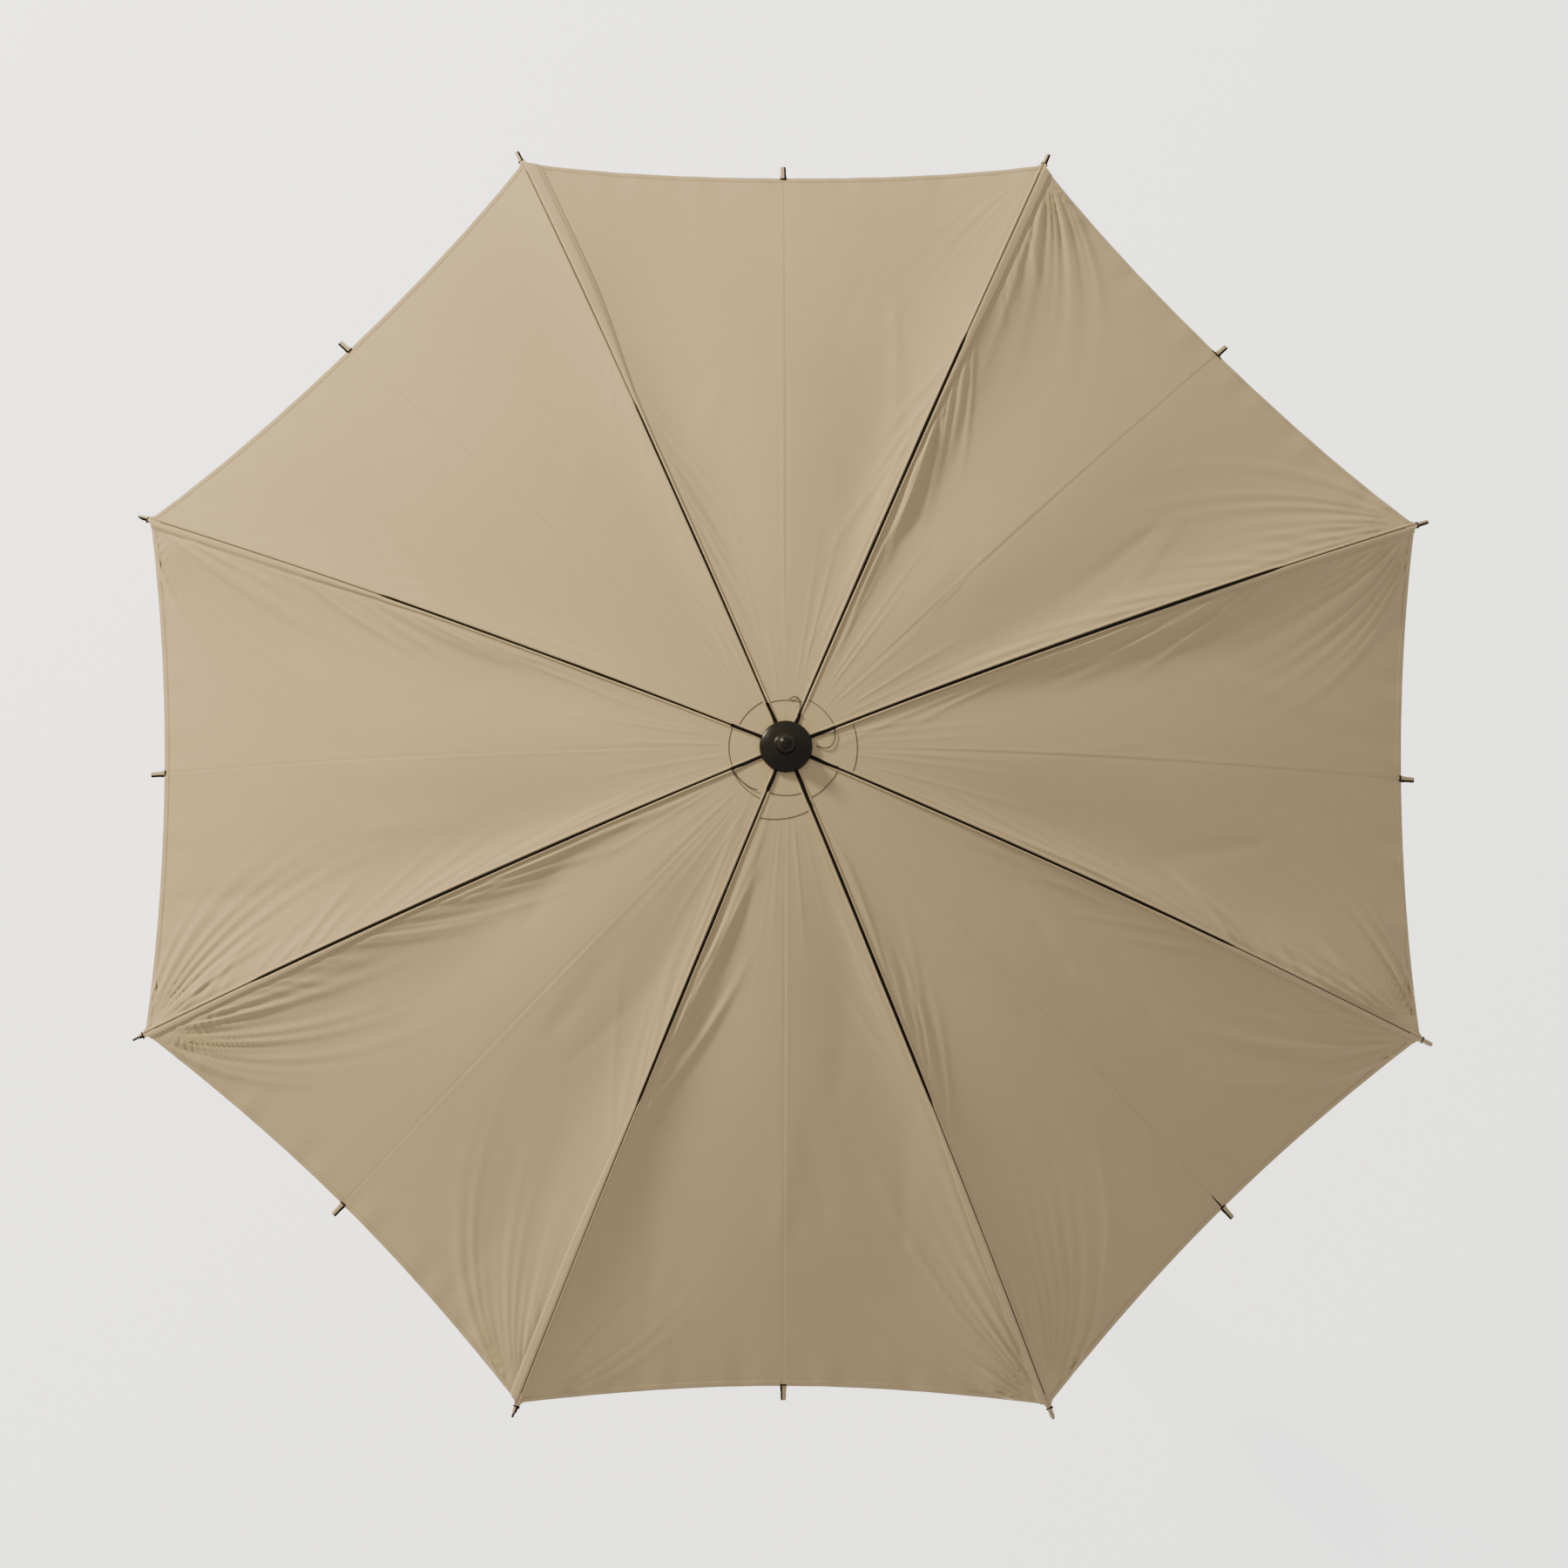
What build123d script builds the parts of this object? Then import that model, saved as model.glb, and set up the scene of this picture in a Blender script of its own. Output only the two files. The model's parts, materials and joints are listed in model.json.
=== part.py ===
"""A market umbrella with a crank lift, eight arched ribs and a round cast base.

Millimetres, +Z up. The origin is on the ground on the pole's axis. The canopy
is open. Rib 1 stands at 22.5 degrees from +X, and batten 1 lies along +X.
"""
import os
from math import asin, atan2, cos, degrees, hypot, radians, sin, tan

from build123d import *

# ---- frame -----------------------------------------------------------------
RIBS = 8
PITCH = 360 / RIBS
HALF = PITCH / 2
PIVOT_Z = 2336                  # rib pivots above the ground
PIVOT_R = 46                    # rib and runner pivots from the pole's axis
CORNER_R = 1350                 # fabric corner, and the end of a rib
CORNER_DROP = 277               # rib's end below its pivot
RIB_RISE = 55                   # arch of a rib above its chord
RIB_W, RIB_H, WALL = 10, 14, 1.1
RIB_SECTIONS = 4                # lengths that follow the arch end to end
TIP_R, TIP_REACH, TIP_ROOT = 3, 28, 5   # round end rod beyond the fabric
HEM_R = 1214                    # hem at the middle of a panel
BATTEN_RISE = 52
BATTEN_W, BATTEN_H = 8.5, 4
BATTEN_SECTIONS = 4
BATTEN_LUG, BATTEN_EYE_R = 6, 6
BATTEN_TAB = 27                 # flat end beyond the hem
BATTEN_GAP = 1.0                # batten's top below the fabric at the hem
EYE_R, PIN_R, RUN = 7, 2, 0.05  # rib eye, its pin, and running clearance

# ---- fabric ----------------------------------------------------------------
FABRIC_OVER_RIB = 8.5           # fabric's lower face above a rib's centre line
FABRIC_T = 0.8
FABRIC_HOLE = 20
SEAM_GAP = 0.5

# ---- stretchers and runner -------------------------------------------------
BRACKET_S = 600                 # bracket along a rib
BRACKET_DROP = 16               # stretcher's pivot below the rib's centre line
BRACKET_HALF, CHEEK_T, CHEEK_R = 11, 2, 6
RIVET_R, RIVET_T = 4.2, 1.6
STRETCHER_W, STRETCHER_H = 8, 12
STRETCHER_PIN_R = 2.5
RUNNER_BELOW = 430              # runner's pivots below the rib pivots, open
RUNNER_Z = PIVOT_Z - RUNNER_BELOW
RUNNER_R, RUNNER_UP, RUNNER_DOWN = 27, 26, 44
RUNNER_SLOT = 9
DISC_R, DISC_HALF, CORE_R = 56, 11, 34

# ---- pole ------------------------------------------------------------------
POLE_R, POLE_BORE = 19, 17.5
POLE_FOOT_Z, POLE_JOINT_Z = 16.3, 600
POLE_TOP_Z = PIVOT_Z - 6
JOINER_T, JOINER_HALF = 1.5, 80
RING_T, RING_HALF = 2.5, 9

# ---- crown, pulley and finial ----------------------------------------------
CROWN_LOW, CROWN_HIGH = PIVOT_Z - 12, PIVOT_Z + EYE_R + 0.2
RIB_SLOT, BATTEN_SLOT = RIB_W + 1, 7
PULLEY_X, PULLEY_Z = 16.5, PIVOT_Z - 1
PULLEY_GROOVE, PULLEY_RIM, PULLEY_W = 5, 7.5, 5
PULLEY_PIN_R = 1.5
POCKET_X, POCKET_Y = (7, 26), (-3.2, 3.2)
STUD_R = 4
CAP_R, CAP_EDGE, CAP_RISE = 49, 3, 20
CAP_Z = PIVOT_Z + FABRIC_OVER_RIB + FABRIC_T + 0.4
KNOB_R = 22

# ---- crank -----------------------------------------------------------------
CRANK_Z = 845
SHAFT_R, SPOOL_R, FLANGE_R = 5, 8.5, 13.5
CORD_R = 1.5
ARM_LENGTH = 90
ARM_W, ARM_T = 20, 6
HOUSING_X, HOUSING_Z, HOUSING_FRONT, HOUSING_BACK = 32, 52, 46, 30
HOUSING_CORNER = 12
DRUM_POCKET_R, DRUM_POCKET, DRUM_R = 20, 22, 17
COVER_T, BOSS_R = 7, 14
SCREW_R, SCREW_X, SCREW_Z = 2, 23, 42
SHAFT_FRONT, SHAFT_BACK = -HOUSING_FRONT - 20, HOUSING_BACK - 3
GRIP_LENGTH, GRIP_PIN_R = 72, 4

# ---- base ------------------------------------------------------------------
BASE_R, BASE_FOOT = 240, 8
SOCKET_Z = 16                   # floor of the stand's socket in the base
STAND_R, STAND_BORE, STAND_TOP = 24, 19.08, 380
FLANGE_Z, FLANGE_T, STAND_FLANGE_R = BASE_FOOT + 34, 6, 62
BOLT_R, BOLT_CIRCLE = 4, 44
CORNERS = (45, 135, 225, 315)
KNOB_Z, LOBE_CIRCLE, LOBE_R, LOBE_T = 320, 20, 6, 16


class Arc:
    """An arch in a vertical plane from a start to an end, as (radius, height)."""

    def __init__(self, start, end, rise):
        run, fall = end[0] - start[0], end[1] - start[1]
        chord = hypot(run, fall)
        self.radius = (chord ** 2 / 4 + rise ** 2) / (2 * rise)
        half = asin(chord / 2 / self.radius)
        down = (fall / chord, -run / chord)
        reach = self.radius - rise
        self.cx = (start[0] + end[0]) / 2 + down[0] * reach
        self.cz = (start[1] + end[1]) / 2 + down[1] * reach
        self.turn = atan2(start[0] - self.cx, start[1] - self.cz)
        self.length = 2 * half * self.radius

    def at(self, along, off=0):
        angle = self.turn + along / self.radius
        out = self.radius + off
        return (self.cx + out * sin(angle), 0, self.cz + out * cos(angle))

    def slope(self, along):
        return degrees(self.turn + along / self.radius)

    def band(self, first, last, low, high, width):
        """A bar that follows the arch, between two offsets from it."""
        middle = (first + last) / 2
        top = [self.at(s, high) for s in (first, middle, last)]
        under = [self.at(s, low) for s in (last, middle, first)]
        return plate(
            [
                ThreePointArc(*top),
                Line(top[2], under[0]),
                ThreePointArc(*under),
                Line(under[2], top[0]),
            ],
            width,
        )


def plate(edges, width):
    """A solid of constant width across the plane y = 0, from its outline."""
    return extrude(make_face(edges), width / 2, dir=(0, 1, 0), both=True)


def rod(x, z, radius, length, y=0):
    """A round bar along Y, centred at x, y, z."""
    return Pos(x, y, z) * Rot(90, 0, 0) * Cylinder(radius, length)


def tube(outer, inner, low, high):
    """An upright tube between two heights."""
    middle = (low + high) / 2
    height = high - low
    return Pos(0, 0, middle) * (Cylinder(outer, height) - Cylinder(inner, height))


def disc(radius, low, high):
    return Pos(0, 0, (low + high) / 2) * Cylinder(radius, high - low)


def box(x, y, z):
    """A block between pairs of limits."""
    size = Box(x[1] - x[0], y[1] - y[0], z[1] - z[0])
    return Pos((x[0] + x[1]) / 2, (y[0] + y[1]) / 2, (z[0] + z[1]) / 2) * size


def lathe(points):
    """A solid of revolution about the pole's axis from (radius, height) points."""
    outline = Polyline(*[(r, 0, z) for r, z in points], close=True)
    return revolve(make_face(outline), Axis.Z)


def lengths(start, end, count):
    """Ends of equal lengths between two places along an arch."""
    step = (end - start) / count
    return [(start + step * i, start + step * (i + 1)) for i in range(count)]


def around(shape, angles):
    return [Rot(0, 0, a) * shape for a in angles]


def save(name, *solids):
    """One file for a sub-part, with each of its solids."""
    shape = solids[0] if len(solids) == 1 else Compound(children=list(solids))
    shape.label = name
    export_step(shape, f"parts/{name}.step")


RIB_ANGLES = [HALF + PITCH * i for i in range(RIBS)]
BATTEN_ANGLES = [PITCH * i for i in range(RIBS)]
RIB = Arc((PIVOT_R, PIVOT_Z), (CORNER_R, PIVOT_Z - CORNER_DROP), RIB_RISE)


def fabric_height(radius):
    """Fabric's lower face over a rib, at a distance from the pole's axis."""
    out = RIB.radius + FABRIC_OVER_RIB
    return RIB.cz + (out ** 2 - (radius - RIB.cx) ** 2) ** 0.5


HEM_Z = fabric_height(HEM_R / cos(radians(HALF)))
BATTEN_END = (HEM_R, HEM_Z - BATTEN_GAP - BATTEN_H / 2)
BATTEN = Arc((PIVOT_R, PIVOT_Z), BATTEN_END, BATTEN_RISE)


# ---- canopy frame ----------------------------------------------------------
def rib():
    """Box tube with an eye, a bracket for the stretcher and a round tip."""
    end = RIB.length - TIP_ROOT - 1
    half = RIB_H / 2
    eye = rod(PIVOT_R, PIVOT_Z, EYE_R, RIB_W)
    hollow = RIB.band(4 * EYE_R, end - 4 * TIP_ROOT, WALL - half, half - WALL, RIB_W - 2 * WALL)
    sections = []
    for first, last in lengths(0, end, RIB_SECTIONS):
        section = RIB.band(first, last, -half, half, RIB_W)
        if first == 0:
            section += eye
        section -= hollow
        sections.append(section - rod(PIVOT_R, PIVOT_Z, PIN_R + RUN, RIB_W))
    x, _, z = RIB.at(BRACKET_S, -BRACKET_DROP)
    side = RIB_W / 2 + CHEEK_T / 2
    first, last = BRACKET_S - BRACKET_HALF, BRACKET_S + BRACKET_HALF
    cheek = RIB.band(first, last, -BRACKET_DROP, 1, CHEEK_T) + rod(x, z, CHEEK_R, CHEEK_T)
    cheek -= rod(x, z, STRETCHER_PIN_R, CHEEK_T)
    cheeks = [Pos(0, s * side, 0) * cheek for s in (-1, 1)]
    pin = rod(x, z, STRETCHER_PIN_R, RIB_W + 2 * CHEEK_T)
    for s in (-1, 1):
        pin += rod(x, z, RIVET_R, RIVET_T, s * (side + CHEEK_T / 2 + RIVET_T / 2))
    tx, _, tz = RIB.at(RIB.length)
    length = TIP_REACH + TIP_ROOT
    place = Pos(tx, 0, tz) * Rot(0, 90 + RIB.slope(RIB.length), 0)
    place *= Pos(0, 0, (TIP_REACH - TIP_ROOT) / 2 - 1)
    tip = place * (Cylinder(TIP_R, length) + Pos(0, 0, length / 2) * Sphere(TIP_R))
    return *sections, *cheeks, pin, tip


def batten():
    """Flat bar under a panel's middle with a narrow eye and a rounded tab."""
    half = BATTEN_H / 2
    neck = 3 * BATTEN_EYE_R
    lug = BATTEN.band(0, neck, -half, half, BATTEN_LUG)
    lug += rod(PIVOT_R, PIVOT_Z, BATTEN_EYE_R, BATTEN_LUG)
    lug -= rod(PIVOT_R, PIVOT_Z, PIN_R + RUN, BATTEN_LUG)
    places = lengths(neck, BATTEN.length, BATTEN_SECTIONS)
    sections = [BATTEN.band(first, last, -half, half, BATTEN_W) for first, last in places]
    x, _, z = BATTEN.at(BATTEN.length)
    tab = extrude(SlotOverall(2 * BATTEN_TAB, BATTEN_W), BATTEN_H * 3 / 8, both=True)
    tab = Pos(x, 0, z) * Rot(0, BATTEN.slope(BATTEN.length), 0) * tab
    sections[0] += lug
    sections[-1] += tab
    return sections


def stretcher():
    """Box tube from a rib's bracket to the runner, open canopy."""
    x, _, z = RIB.at(BRACKET_S, -BRACKET_DROP)
    run, fall = x - PIVOT_R, z - RUNNER_Z
    length = hypot(run, fall)
    place = Pos((x + PIVOT_R) / 2, 0, (z + RUNNER_Z) / 2)
    place *= Rot(0, -degrees(atan2(fall, run)), 0) * Rot(90, 0, 0)
    bar = extrude(SlotCenterToCenter(length, STRETCHER_H), STRETCHER_W / 2, both=True)
    bar -= Box(length - 36, STRETCHER_H - 2 * WALL, STRETCHER_W - 2 * WALL)
    bar -= Pos(length / 2, 0, 0) * Cylinder(STRETCHER_PIN_R + RUN, STRETCHER_W)
    return place * bar


def canopy_panel():
    """Fabric between two ribs, singly curved, with a hem cut in to the middle."""
    reach = cos(radians(HALF))
    radii = [FABRIC_HOLE, PIVOT_R, (PIVOT_R + CORNER_R) / 2, CORNER_R + 30]
    heights = [fabric_height(PIVOT_R)] + [fabric_height(r) for r in radii[1:]]
    under = [(r * reach, 0, z) for r, z in zip(radii, heights)]
    over = [(x, 0, z + FABRIC_T) for x, _, z in under]
    sheet = plate(
        [
            Line(under[0], under[1]),
            ThreePointArc(*under[1:]),
            Line(under[3], over[3]),
            ThreePointArc(*reversed(over[1:])),
            Line(over[1], over[0]),
            Line(over[0], under[0]),
        ],
        CORNER_R,
    )
    inner_x = FABRIC_HOLE
    inner_y = inner_x * tan(radians(HALF)) - SEAM_GAP
    x = CORNER_R * reach
    y = CORNER_R * sin(radians(HALF)) - SEAM_GAP
    plan = make_face(
        [
            Line((inner_x, -inner_y), (x, -y)),
            ThreePointArc((x, -y), (HEM_R, 0), (x, y)),
            Line((x, y), (inner_x, inner_y)),
            Line((inner_x, inner_y), (inner_x, -inner_y)),
        ]
    )
    return sheet & Pos(0, 0, PIVOT_Z - 400) * extrude(plan, 500)


def slots(count_angles, width, low, high):
    """Radial slots from the core outward, to be cut from a hub."""
    one = box((CORE_R, DISC_R + 9), (-width / 2, width / 2), (low, high))
    return around(one, count_angles)


def crown():
    """Slotted hub on the pole's top, with a pocket for the cord's pulley."""
    low, high = CROWN_LOW, CROWN_HIGH
    hub = disc(DISC_R + 1, low, high) - disc(POLE_R, low, POLE_TOP_Z)
    hub -= disc(STUD_R, POLE_TOP_Z, high)
    for cut in slots(RIB_ANGLES, RIB_SLOT, low, high):
        hub -= cut
    for cut in slots(BATTEN_ANGLES, BATTEN_SLOT, low, high):
        hub -= cut
    for pin in crown_pins():
        hub -= pin
    hub -= box(POCKET_X, POCKET_Y, (low, high))
    return hub - pulley_pin()


def crown_pins():
    """Short axles of the ribs and battens."""
    long_pin = rod(PIVOT_R, PIVOT_Z, PIN_R, RIB_SLOT + 6)
    short_pin = rod(PIVOT_R, PIVOT_Z, PIN_R, BATTEN_SLOT + 6)
    return around(long_pin, RIB_ANGLES) + around(short_pin, BATTEN_ANGLES)


def pulley():
    """Grooved wheel that turns the cord over the pole's top."""
    wheel = rod(PULLEY_X, PULLEY_Z, PULLEY_GROOVE, PULLEY_W)
    flange = 0.9
    for side in (-1, 1):
        wheel += rod(PULLEY_X, PULLEY_Z, PULLEY_RIM, flange, side * (PULLEY_W - flange) / 2)
    return wheel - rod(PULLEY_X, PULLEY_Z, PULLEY_PIN_R + RUN, PULLEY_W)


def pulley_pin():
    return rod(PULLEY_X, PULLEY_Z, PULLEY_PIN_R, 16)


def lift_cord():
    """Cord inside the pole from the spool over the pulley, and its outer run."""
    turn = PULLEY_GROOVE + CORD_R + RUN
    inside, outside = PULLEY_X - turn, PULLEY_X + turn
    foot, top = CRANK_Z + 1, PULLEY_Z
    leave = CROWN_LOW
    path = Wire(
        [
            Line((inside, 0, foot), (inside, 0, top)),
            ThreePointArc((inside, 0, top), (PULLEY_X, 0, top + turn), (outside, 0, top)),
            Line((outside, 0, top), (outside, 0, leave)),
        ]
    )
    inner = sweep(Plane((inside, 0, foot), z_dir=(0, 0, 1)) * Circle(CORD_R), path)
    low = RUNNER_Z + RUNNER_UP
    outer = Pos(outside, 0, (low + leave) / 2) * Cylinder(CORD_R, leave - low)
    return inner, outer


def runner():
    """Sleeve that slides on the pole, with a slotted disc for the stretchers."""
    low, high = RUNNER_Z - DISC_HALF, RUNNER_Z + DISC_HALF
    body = disc(RUNNER_R, RUNNER_Z - RUNNER_DOWN, RUNNER_Z + RUNNER_UP)
    body += disc(DISC_R, low, high)
    body -= disc(POLE_R + RUN, RUNNER_Z - RUNNER_DOWN, RUNNER_Z + RUNNER_UP)
    for cut in slots(RIB_ANGLES, RUNNER_SLOT, low, high):
        body -= cut
    for pin in runner_pins():
        body -= pin
    return body


def runner_pins():
    """Pin halves in the ears, flush with the slots, under each stretcher's eye."""
    length = 9
    offset = RUNNER_SLOT / 2 + length / 2
    pair = [rod(PIVOT_R, RUNNER_Z, STRETCHER_PIN_R, length, s * offset) for s in (-1, 1)]
    return [pin for half in pair for pin in around(half, RIB_ANGLES)]


# ---- finial ----------------------------------------------------------------

def finial_cap():
    """Low dome that clamps the fabric on the crown."""
    edge = CAP_Z + CAP_EDGE
    top = edge + CAP_RISE
    flat = 3 * STUD_R
    shoulder = (CAP_R * 0.68, 0, edge + CAP_RISE * 0.6)
    dome = make_face(
        [
            Line((STUD_R, 0, CAP_Z), (CAP_R, 0, CAP_Z)),
            Line((CAP_R, 0, CAP_Z), (CAP_R, 0, edge)),
            ThreePointArc((CAP_R, 0, edge), shoulder, (flat, 0, top)),
            Line((flat, 0, top), (STUD_R, 0, top)),
            Line((STUD_R, 0, top), (STUD_R, 0, CAP_Z)),
        ]
    )
    return revolve(dome, Axis.Z)


def finial_knob():
    """Round knob with a stud that screws into the crown."""
    seat = CAP_Z + CAP_EDGE + CAP_RISE
    ball = Pos(0, 0, seat) * Sphere(KNOB_R) - disc(KNOB_R + 1, seat - KNOB_R - 1, seat)
    return ball + disc(STUD_R, POLE_TOP_Z + 1, seat + 2)


# ---- pole and crank --------------------------------------------------------
def upper_pole():
    body = tube(POLE_R, POLE_BORE, POLE_JOINT_Z, POLE_TOP_Z)
    body -= box(POCKET_X, POCKET_Y, (CROWN_LOW, POLE_TOP_Z))
    return body - rod(0, CRANK_Z, SHAFT_R + 1, 2 * POLE_R)


def lower_pole():
    return tube(POLE_R, POLE_BORE, POLE_FOOT_Z, POLE_JOINT_Z)


def pole_joiner():
    low, high = POLE_JOINT_Z - JOINER_HALF, POLE_JOINT_Z + JOINER_HALF
    return tube(POLE_BORE, POLE_BORE - JOINER_T, low, high)


def joint_ring():
    return tube(POLE_R + RING_T, POLE_R, POLE_JOINT_Z - RING_HALF, POLE_JOINT_Z + RING_HALF)


def crank_housing():
    """Rounded block clamped on the pole that carries the crank's shaft."""
    low, high = CRANK_Z - HOUSING_Z, CRANK_Z + HOUSING_Z
    body = box((-HOUSING_X, HOUSING_X), (-HOUSING_FRONT, HOUSING_BACK), (low, high))
    body = fillet(body.edges().filter_by(Axis.Z), HOUSING_CORNER)
    body -= disc(POLE_R, low, high)
    body -= rod(0, CRANK_Z, DRUM_POCKET_R, DRUM_POCKET, -HOUSING_FRONT + DRUM_POCKET / 2)
    body -= rod(0, CRANK_Z, SHAFT_R + RUN, 2 * HOUSING_FRONT)
    for x, z in cover_screw_places():
        body -= rod(x, z, SCREW_R, 16, -HOUSING_FRONT + 8)
    return body


def cover_screw_places():
    sides = (-1, 1)
    return [(sx * SCREW_X, CRANK_Z + sz * SCREW_Z) for sx in sides for sz in sides]


def crank_cover():
    """Front plate of the housing with a raised bearing for the shaft."""
    front = -HOUSING_FRONT
    low, high = CRANK_Z - HOUSING_Z, CRANK_Z + HOUSING_Z
    cover = box((-HOUSING_X, HOUSING_X), (front - COVER_T, front), (low, high))
    cover = fillet(cover.edges().filter_by(Axis.Y), HOUSING_CORNER)
    cover += rod(0, CRANK_Z, BOSS_R, 12, front - 6)
    cover -= rod(0, CRANK_Z, SHAFT_R + RUN, 40, front)
    for x, z in cover_screw_places():
        cover -= rod(x, z, SCREW_R, 30, front)
    return cover


def cover_screws():
    front = -HOUSING_FRONT - COVER_T
    shanks = [rod(x, z, SCREW_R, 20, front + 10) for x, z in cover_screw_places()]
    heads = [rod(x, z, 2 * SCREW_R, 2.4, front - 1.2) for x, z in cover_screw_places()]
    return [shank + head for shank, head in zip(shanks, heads)]


def crank_spool():
    """Shaft with the cord's spool inside the pole and a brake drum before it."""
    length = SHAFT_BACK - SHAFT_FRONT
    shaft = rod(0, CRANK_Z, SHAFT_R, length, (SHAFT_FRONT + SHAFT_BACK) / 2)
    shaft += rod(0, CRANK_Z, SPOOL_R, 18)
    for side in (-1, 1):
        shaft += rod(0, CRANK_Z, FLANGE_R, 1.5, side * 9.75)
    return shaft + rod(0, CRANK_Z, DRUM_R, 10, -HOUSING_FRONT + 12)


def crank_arm():
    """Flat arm with round ends, on the shaft's end."""
    bar = extrude(SlotCenterToCenter(ARM_LENGTH, ARM_W), ARM_T / 2, both=True)
    upright = Rot(0, 0, 90) * Rot(0, 90, 0) * bar
    bar = Pos(0, SHAFT_FRONT + ARM_T / 2, CRANK_Z - ARM_LENGTH / 2) * upright
    bar -= rod(0, CRANK_Z, SHAFT_R, 200)
    return bar - rod(0, CRANK_Z - ARM_LENGTH, GRIP_PIN_R, 200)


def crank_grip():
    """Barrel that spins on the arm's pin."""
    back = SHAFT_FRONT - 1
    bore = GRIP_PIN_R + RUN
    outline = [(bore, 0), (10, 0), (12.5, 8), (13, 36), (12, 64), (8, GRIP_LENGTH)]
    grip = lathe([*outline, (bore, GRIP_LENGTH)])
    return Pos(0, back, CRANK_Z - ARM_LENGTH) * Rot(90, 0, 0) * grip


def grip_pin():
    """Pin through the arm, with a button head beyond the grip."""
    back = SHAFT_FRONT + ARM_T
    length = GRIP_LENGTH + 8
    z = CRANK_Z - ARM_LENGTH
    pin = rod(0, z, GRIP_PIN_R, length, back - length / 2)
    return pin + rod(0, z, 6.5, 3, back - length - 1.5)


# ---- base ------------------------------------------------------------------
def base_plate():
    """Round cast weight with a low crown and a socket for the stand."""
    outline = [
        (0, BASE_FOOT),
        (BASE_R - 4, BASE_FOOT),
        (BASE_R, BASE_FOOT + 4),
        (BASE_R, BASE_FOOT + 14),
        (BASE_R - 6, BASE_FOOT + 19),
        (BASE_R - 40, BASE_FOOT + 23),
        (BASE_R / 2, BASE_FOOT + 32),
        (STAND_FLANGE_R + 8, FLANGE_Z),
        (0, FLANGE_Z),
    ]
    body = lathe(outline) - disc(STAND_R, SOCKET_Z, FLANGE_Z)
    for bolt in base_bolts():
        body -= bolt
    return body


def base_bolts():
    """Hexagon bolts that hold the stand's flange."""
    shank = Pos(BOLT_CIRCLE, 0, FLANGE_Z - 7) * Cylinder(BOLT_R, 26)
    head = Pos(BOLT_CIRCLE, 0, FLANGE_Z + FLANGE_T) * extrude(RegularPolygon(7.5, 6), 5)
    return around(shank + head, CORNERS)


def base_feet():
    pad = Pos(BASE_R - 45, 0, BASE_FOOT / 2) * Cylinder(18, BASE_FOOT)
    return around(pad, CORNERS)


def stand_tube():
    """Tube with a bolted flange and a threaded boss for the clamp."""
    body = disc(STAND_R, SOCKET_Z, STAND_TOP)
    body += disc(STAND_FLANGE_R, FLANGE_Z, FLANGE_Z + FLANGE_T)
    body += rod(0, KNOB_Z, 11, 20, -STAND_R - 6)
    body -= disc(STAND_BORE, SOCKET_Z, STAND_TOP)
    for bolt in base_bolts():
        body -= bolt
    return body - rod(0, KNOB_Z, SHAFT_R + RUN, 40, -STAND_R - 5)


def stand_collar():
    """Guide ring pressed on the stand's top."""
    body = tube(STAND_R + 4, STAND_BORE, STAND_TOP, STAND_TOP + 8)
    return body + tube(STAND_R + 4, STAND_R, STAND_TOP - 16, STAND_TOP)


def clamp_screw():
    length = 38
    return rod(0, KNOB_Z, SHAFT_R, length, -POLE_R - RUN - length / 2)


def clamp_knob():
    """Lobed knob on the clamp's screw."""
    middle = -STAND_R - 20 - LOBE_T / 2
    head = rod(0, KNOB_Z, LOBE_CIRCLE, LOBE_T, middle)
    for a in range(0, 360, 60):
        x, z = LOBE_CIRCLE * cos(radians(a)), LOBE_CIRCLE * sin(radians(a))
        head += rod(x, KNOB_Z + z, LOBE_R, LOBE_T, middle)
    return head - clamp_screw()


def main():
    os.makedirs("parts", exist_ok=True)
    rib_parts, batten_parts = rib(), batten()
    stretcher_part, panel_part = stretcher(), canopy_panel()
    for i, (a, b) in enumerate(zip(RIB_ANGLES, BATTEN_ANGLES), start=1):
        save(f"rib_{i}", *[Rot(0, 0, a) * piece for piece in rib_parts])
        save(f"stretcher_{i}", Rot(0, 0, a) * stretcher_part)
        save(f"batten_{i}", *[Rot(0, 0, b) * piece for piece in batten_parts])
        save(f"canopy_panel_{i}", Rot(0, 0, b) * panel_part)
    inner_cord, outer_cord = lift_cord()
    save("crown", crown())
    save("crown_pins", *crown_pins())
    save("finial_cap", finial_cap())
    save("finial_knob", finial_knob())
    save("pulley", pulley())
    save("pulley_pin", pulley_pin())
    save("cord_in_pole", inner_cord)
    save("cord_to_runner", outer_cord)
    save("runner", runner())
    save("runner_pins", *runner_pins())
    save("upper_pole", upper_pole())
    save("lower_pole", lower_pole())
    save("pole_joiner", pole_joiner())
    save("joint_ring", joint_ring())
    save("crank_housing", crank_housing())
    save("crank_cover", crank_cover())
    save("cover_screws", *cover_screws())
    save("crank_spool", crank_spool())
    save("crank_arm", crank_arm())
    save("crank_grip", crank_grip())
    save("grip_pin", grip_pin())
    save("base_plate", base_plate())
    save("base_feet", *base_feet())
    save("base_bolts", *base_bolts())
    save("stand_tube", stand_tube())
    save("stand_collar", stand_collar())
    save("clamp_screw", clamp_screw())
    save("clamp_knob", clamp_knob())


main()
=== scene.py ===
"""A patio umbrella: eight fabric panels on arched ribs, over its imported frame."""
import json
import math

import bmesh
import bpy
import numpy as np
from mathutils import Matrix, Vector


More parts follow.
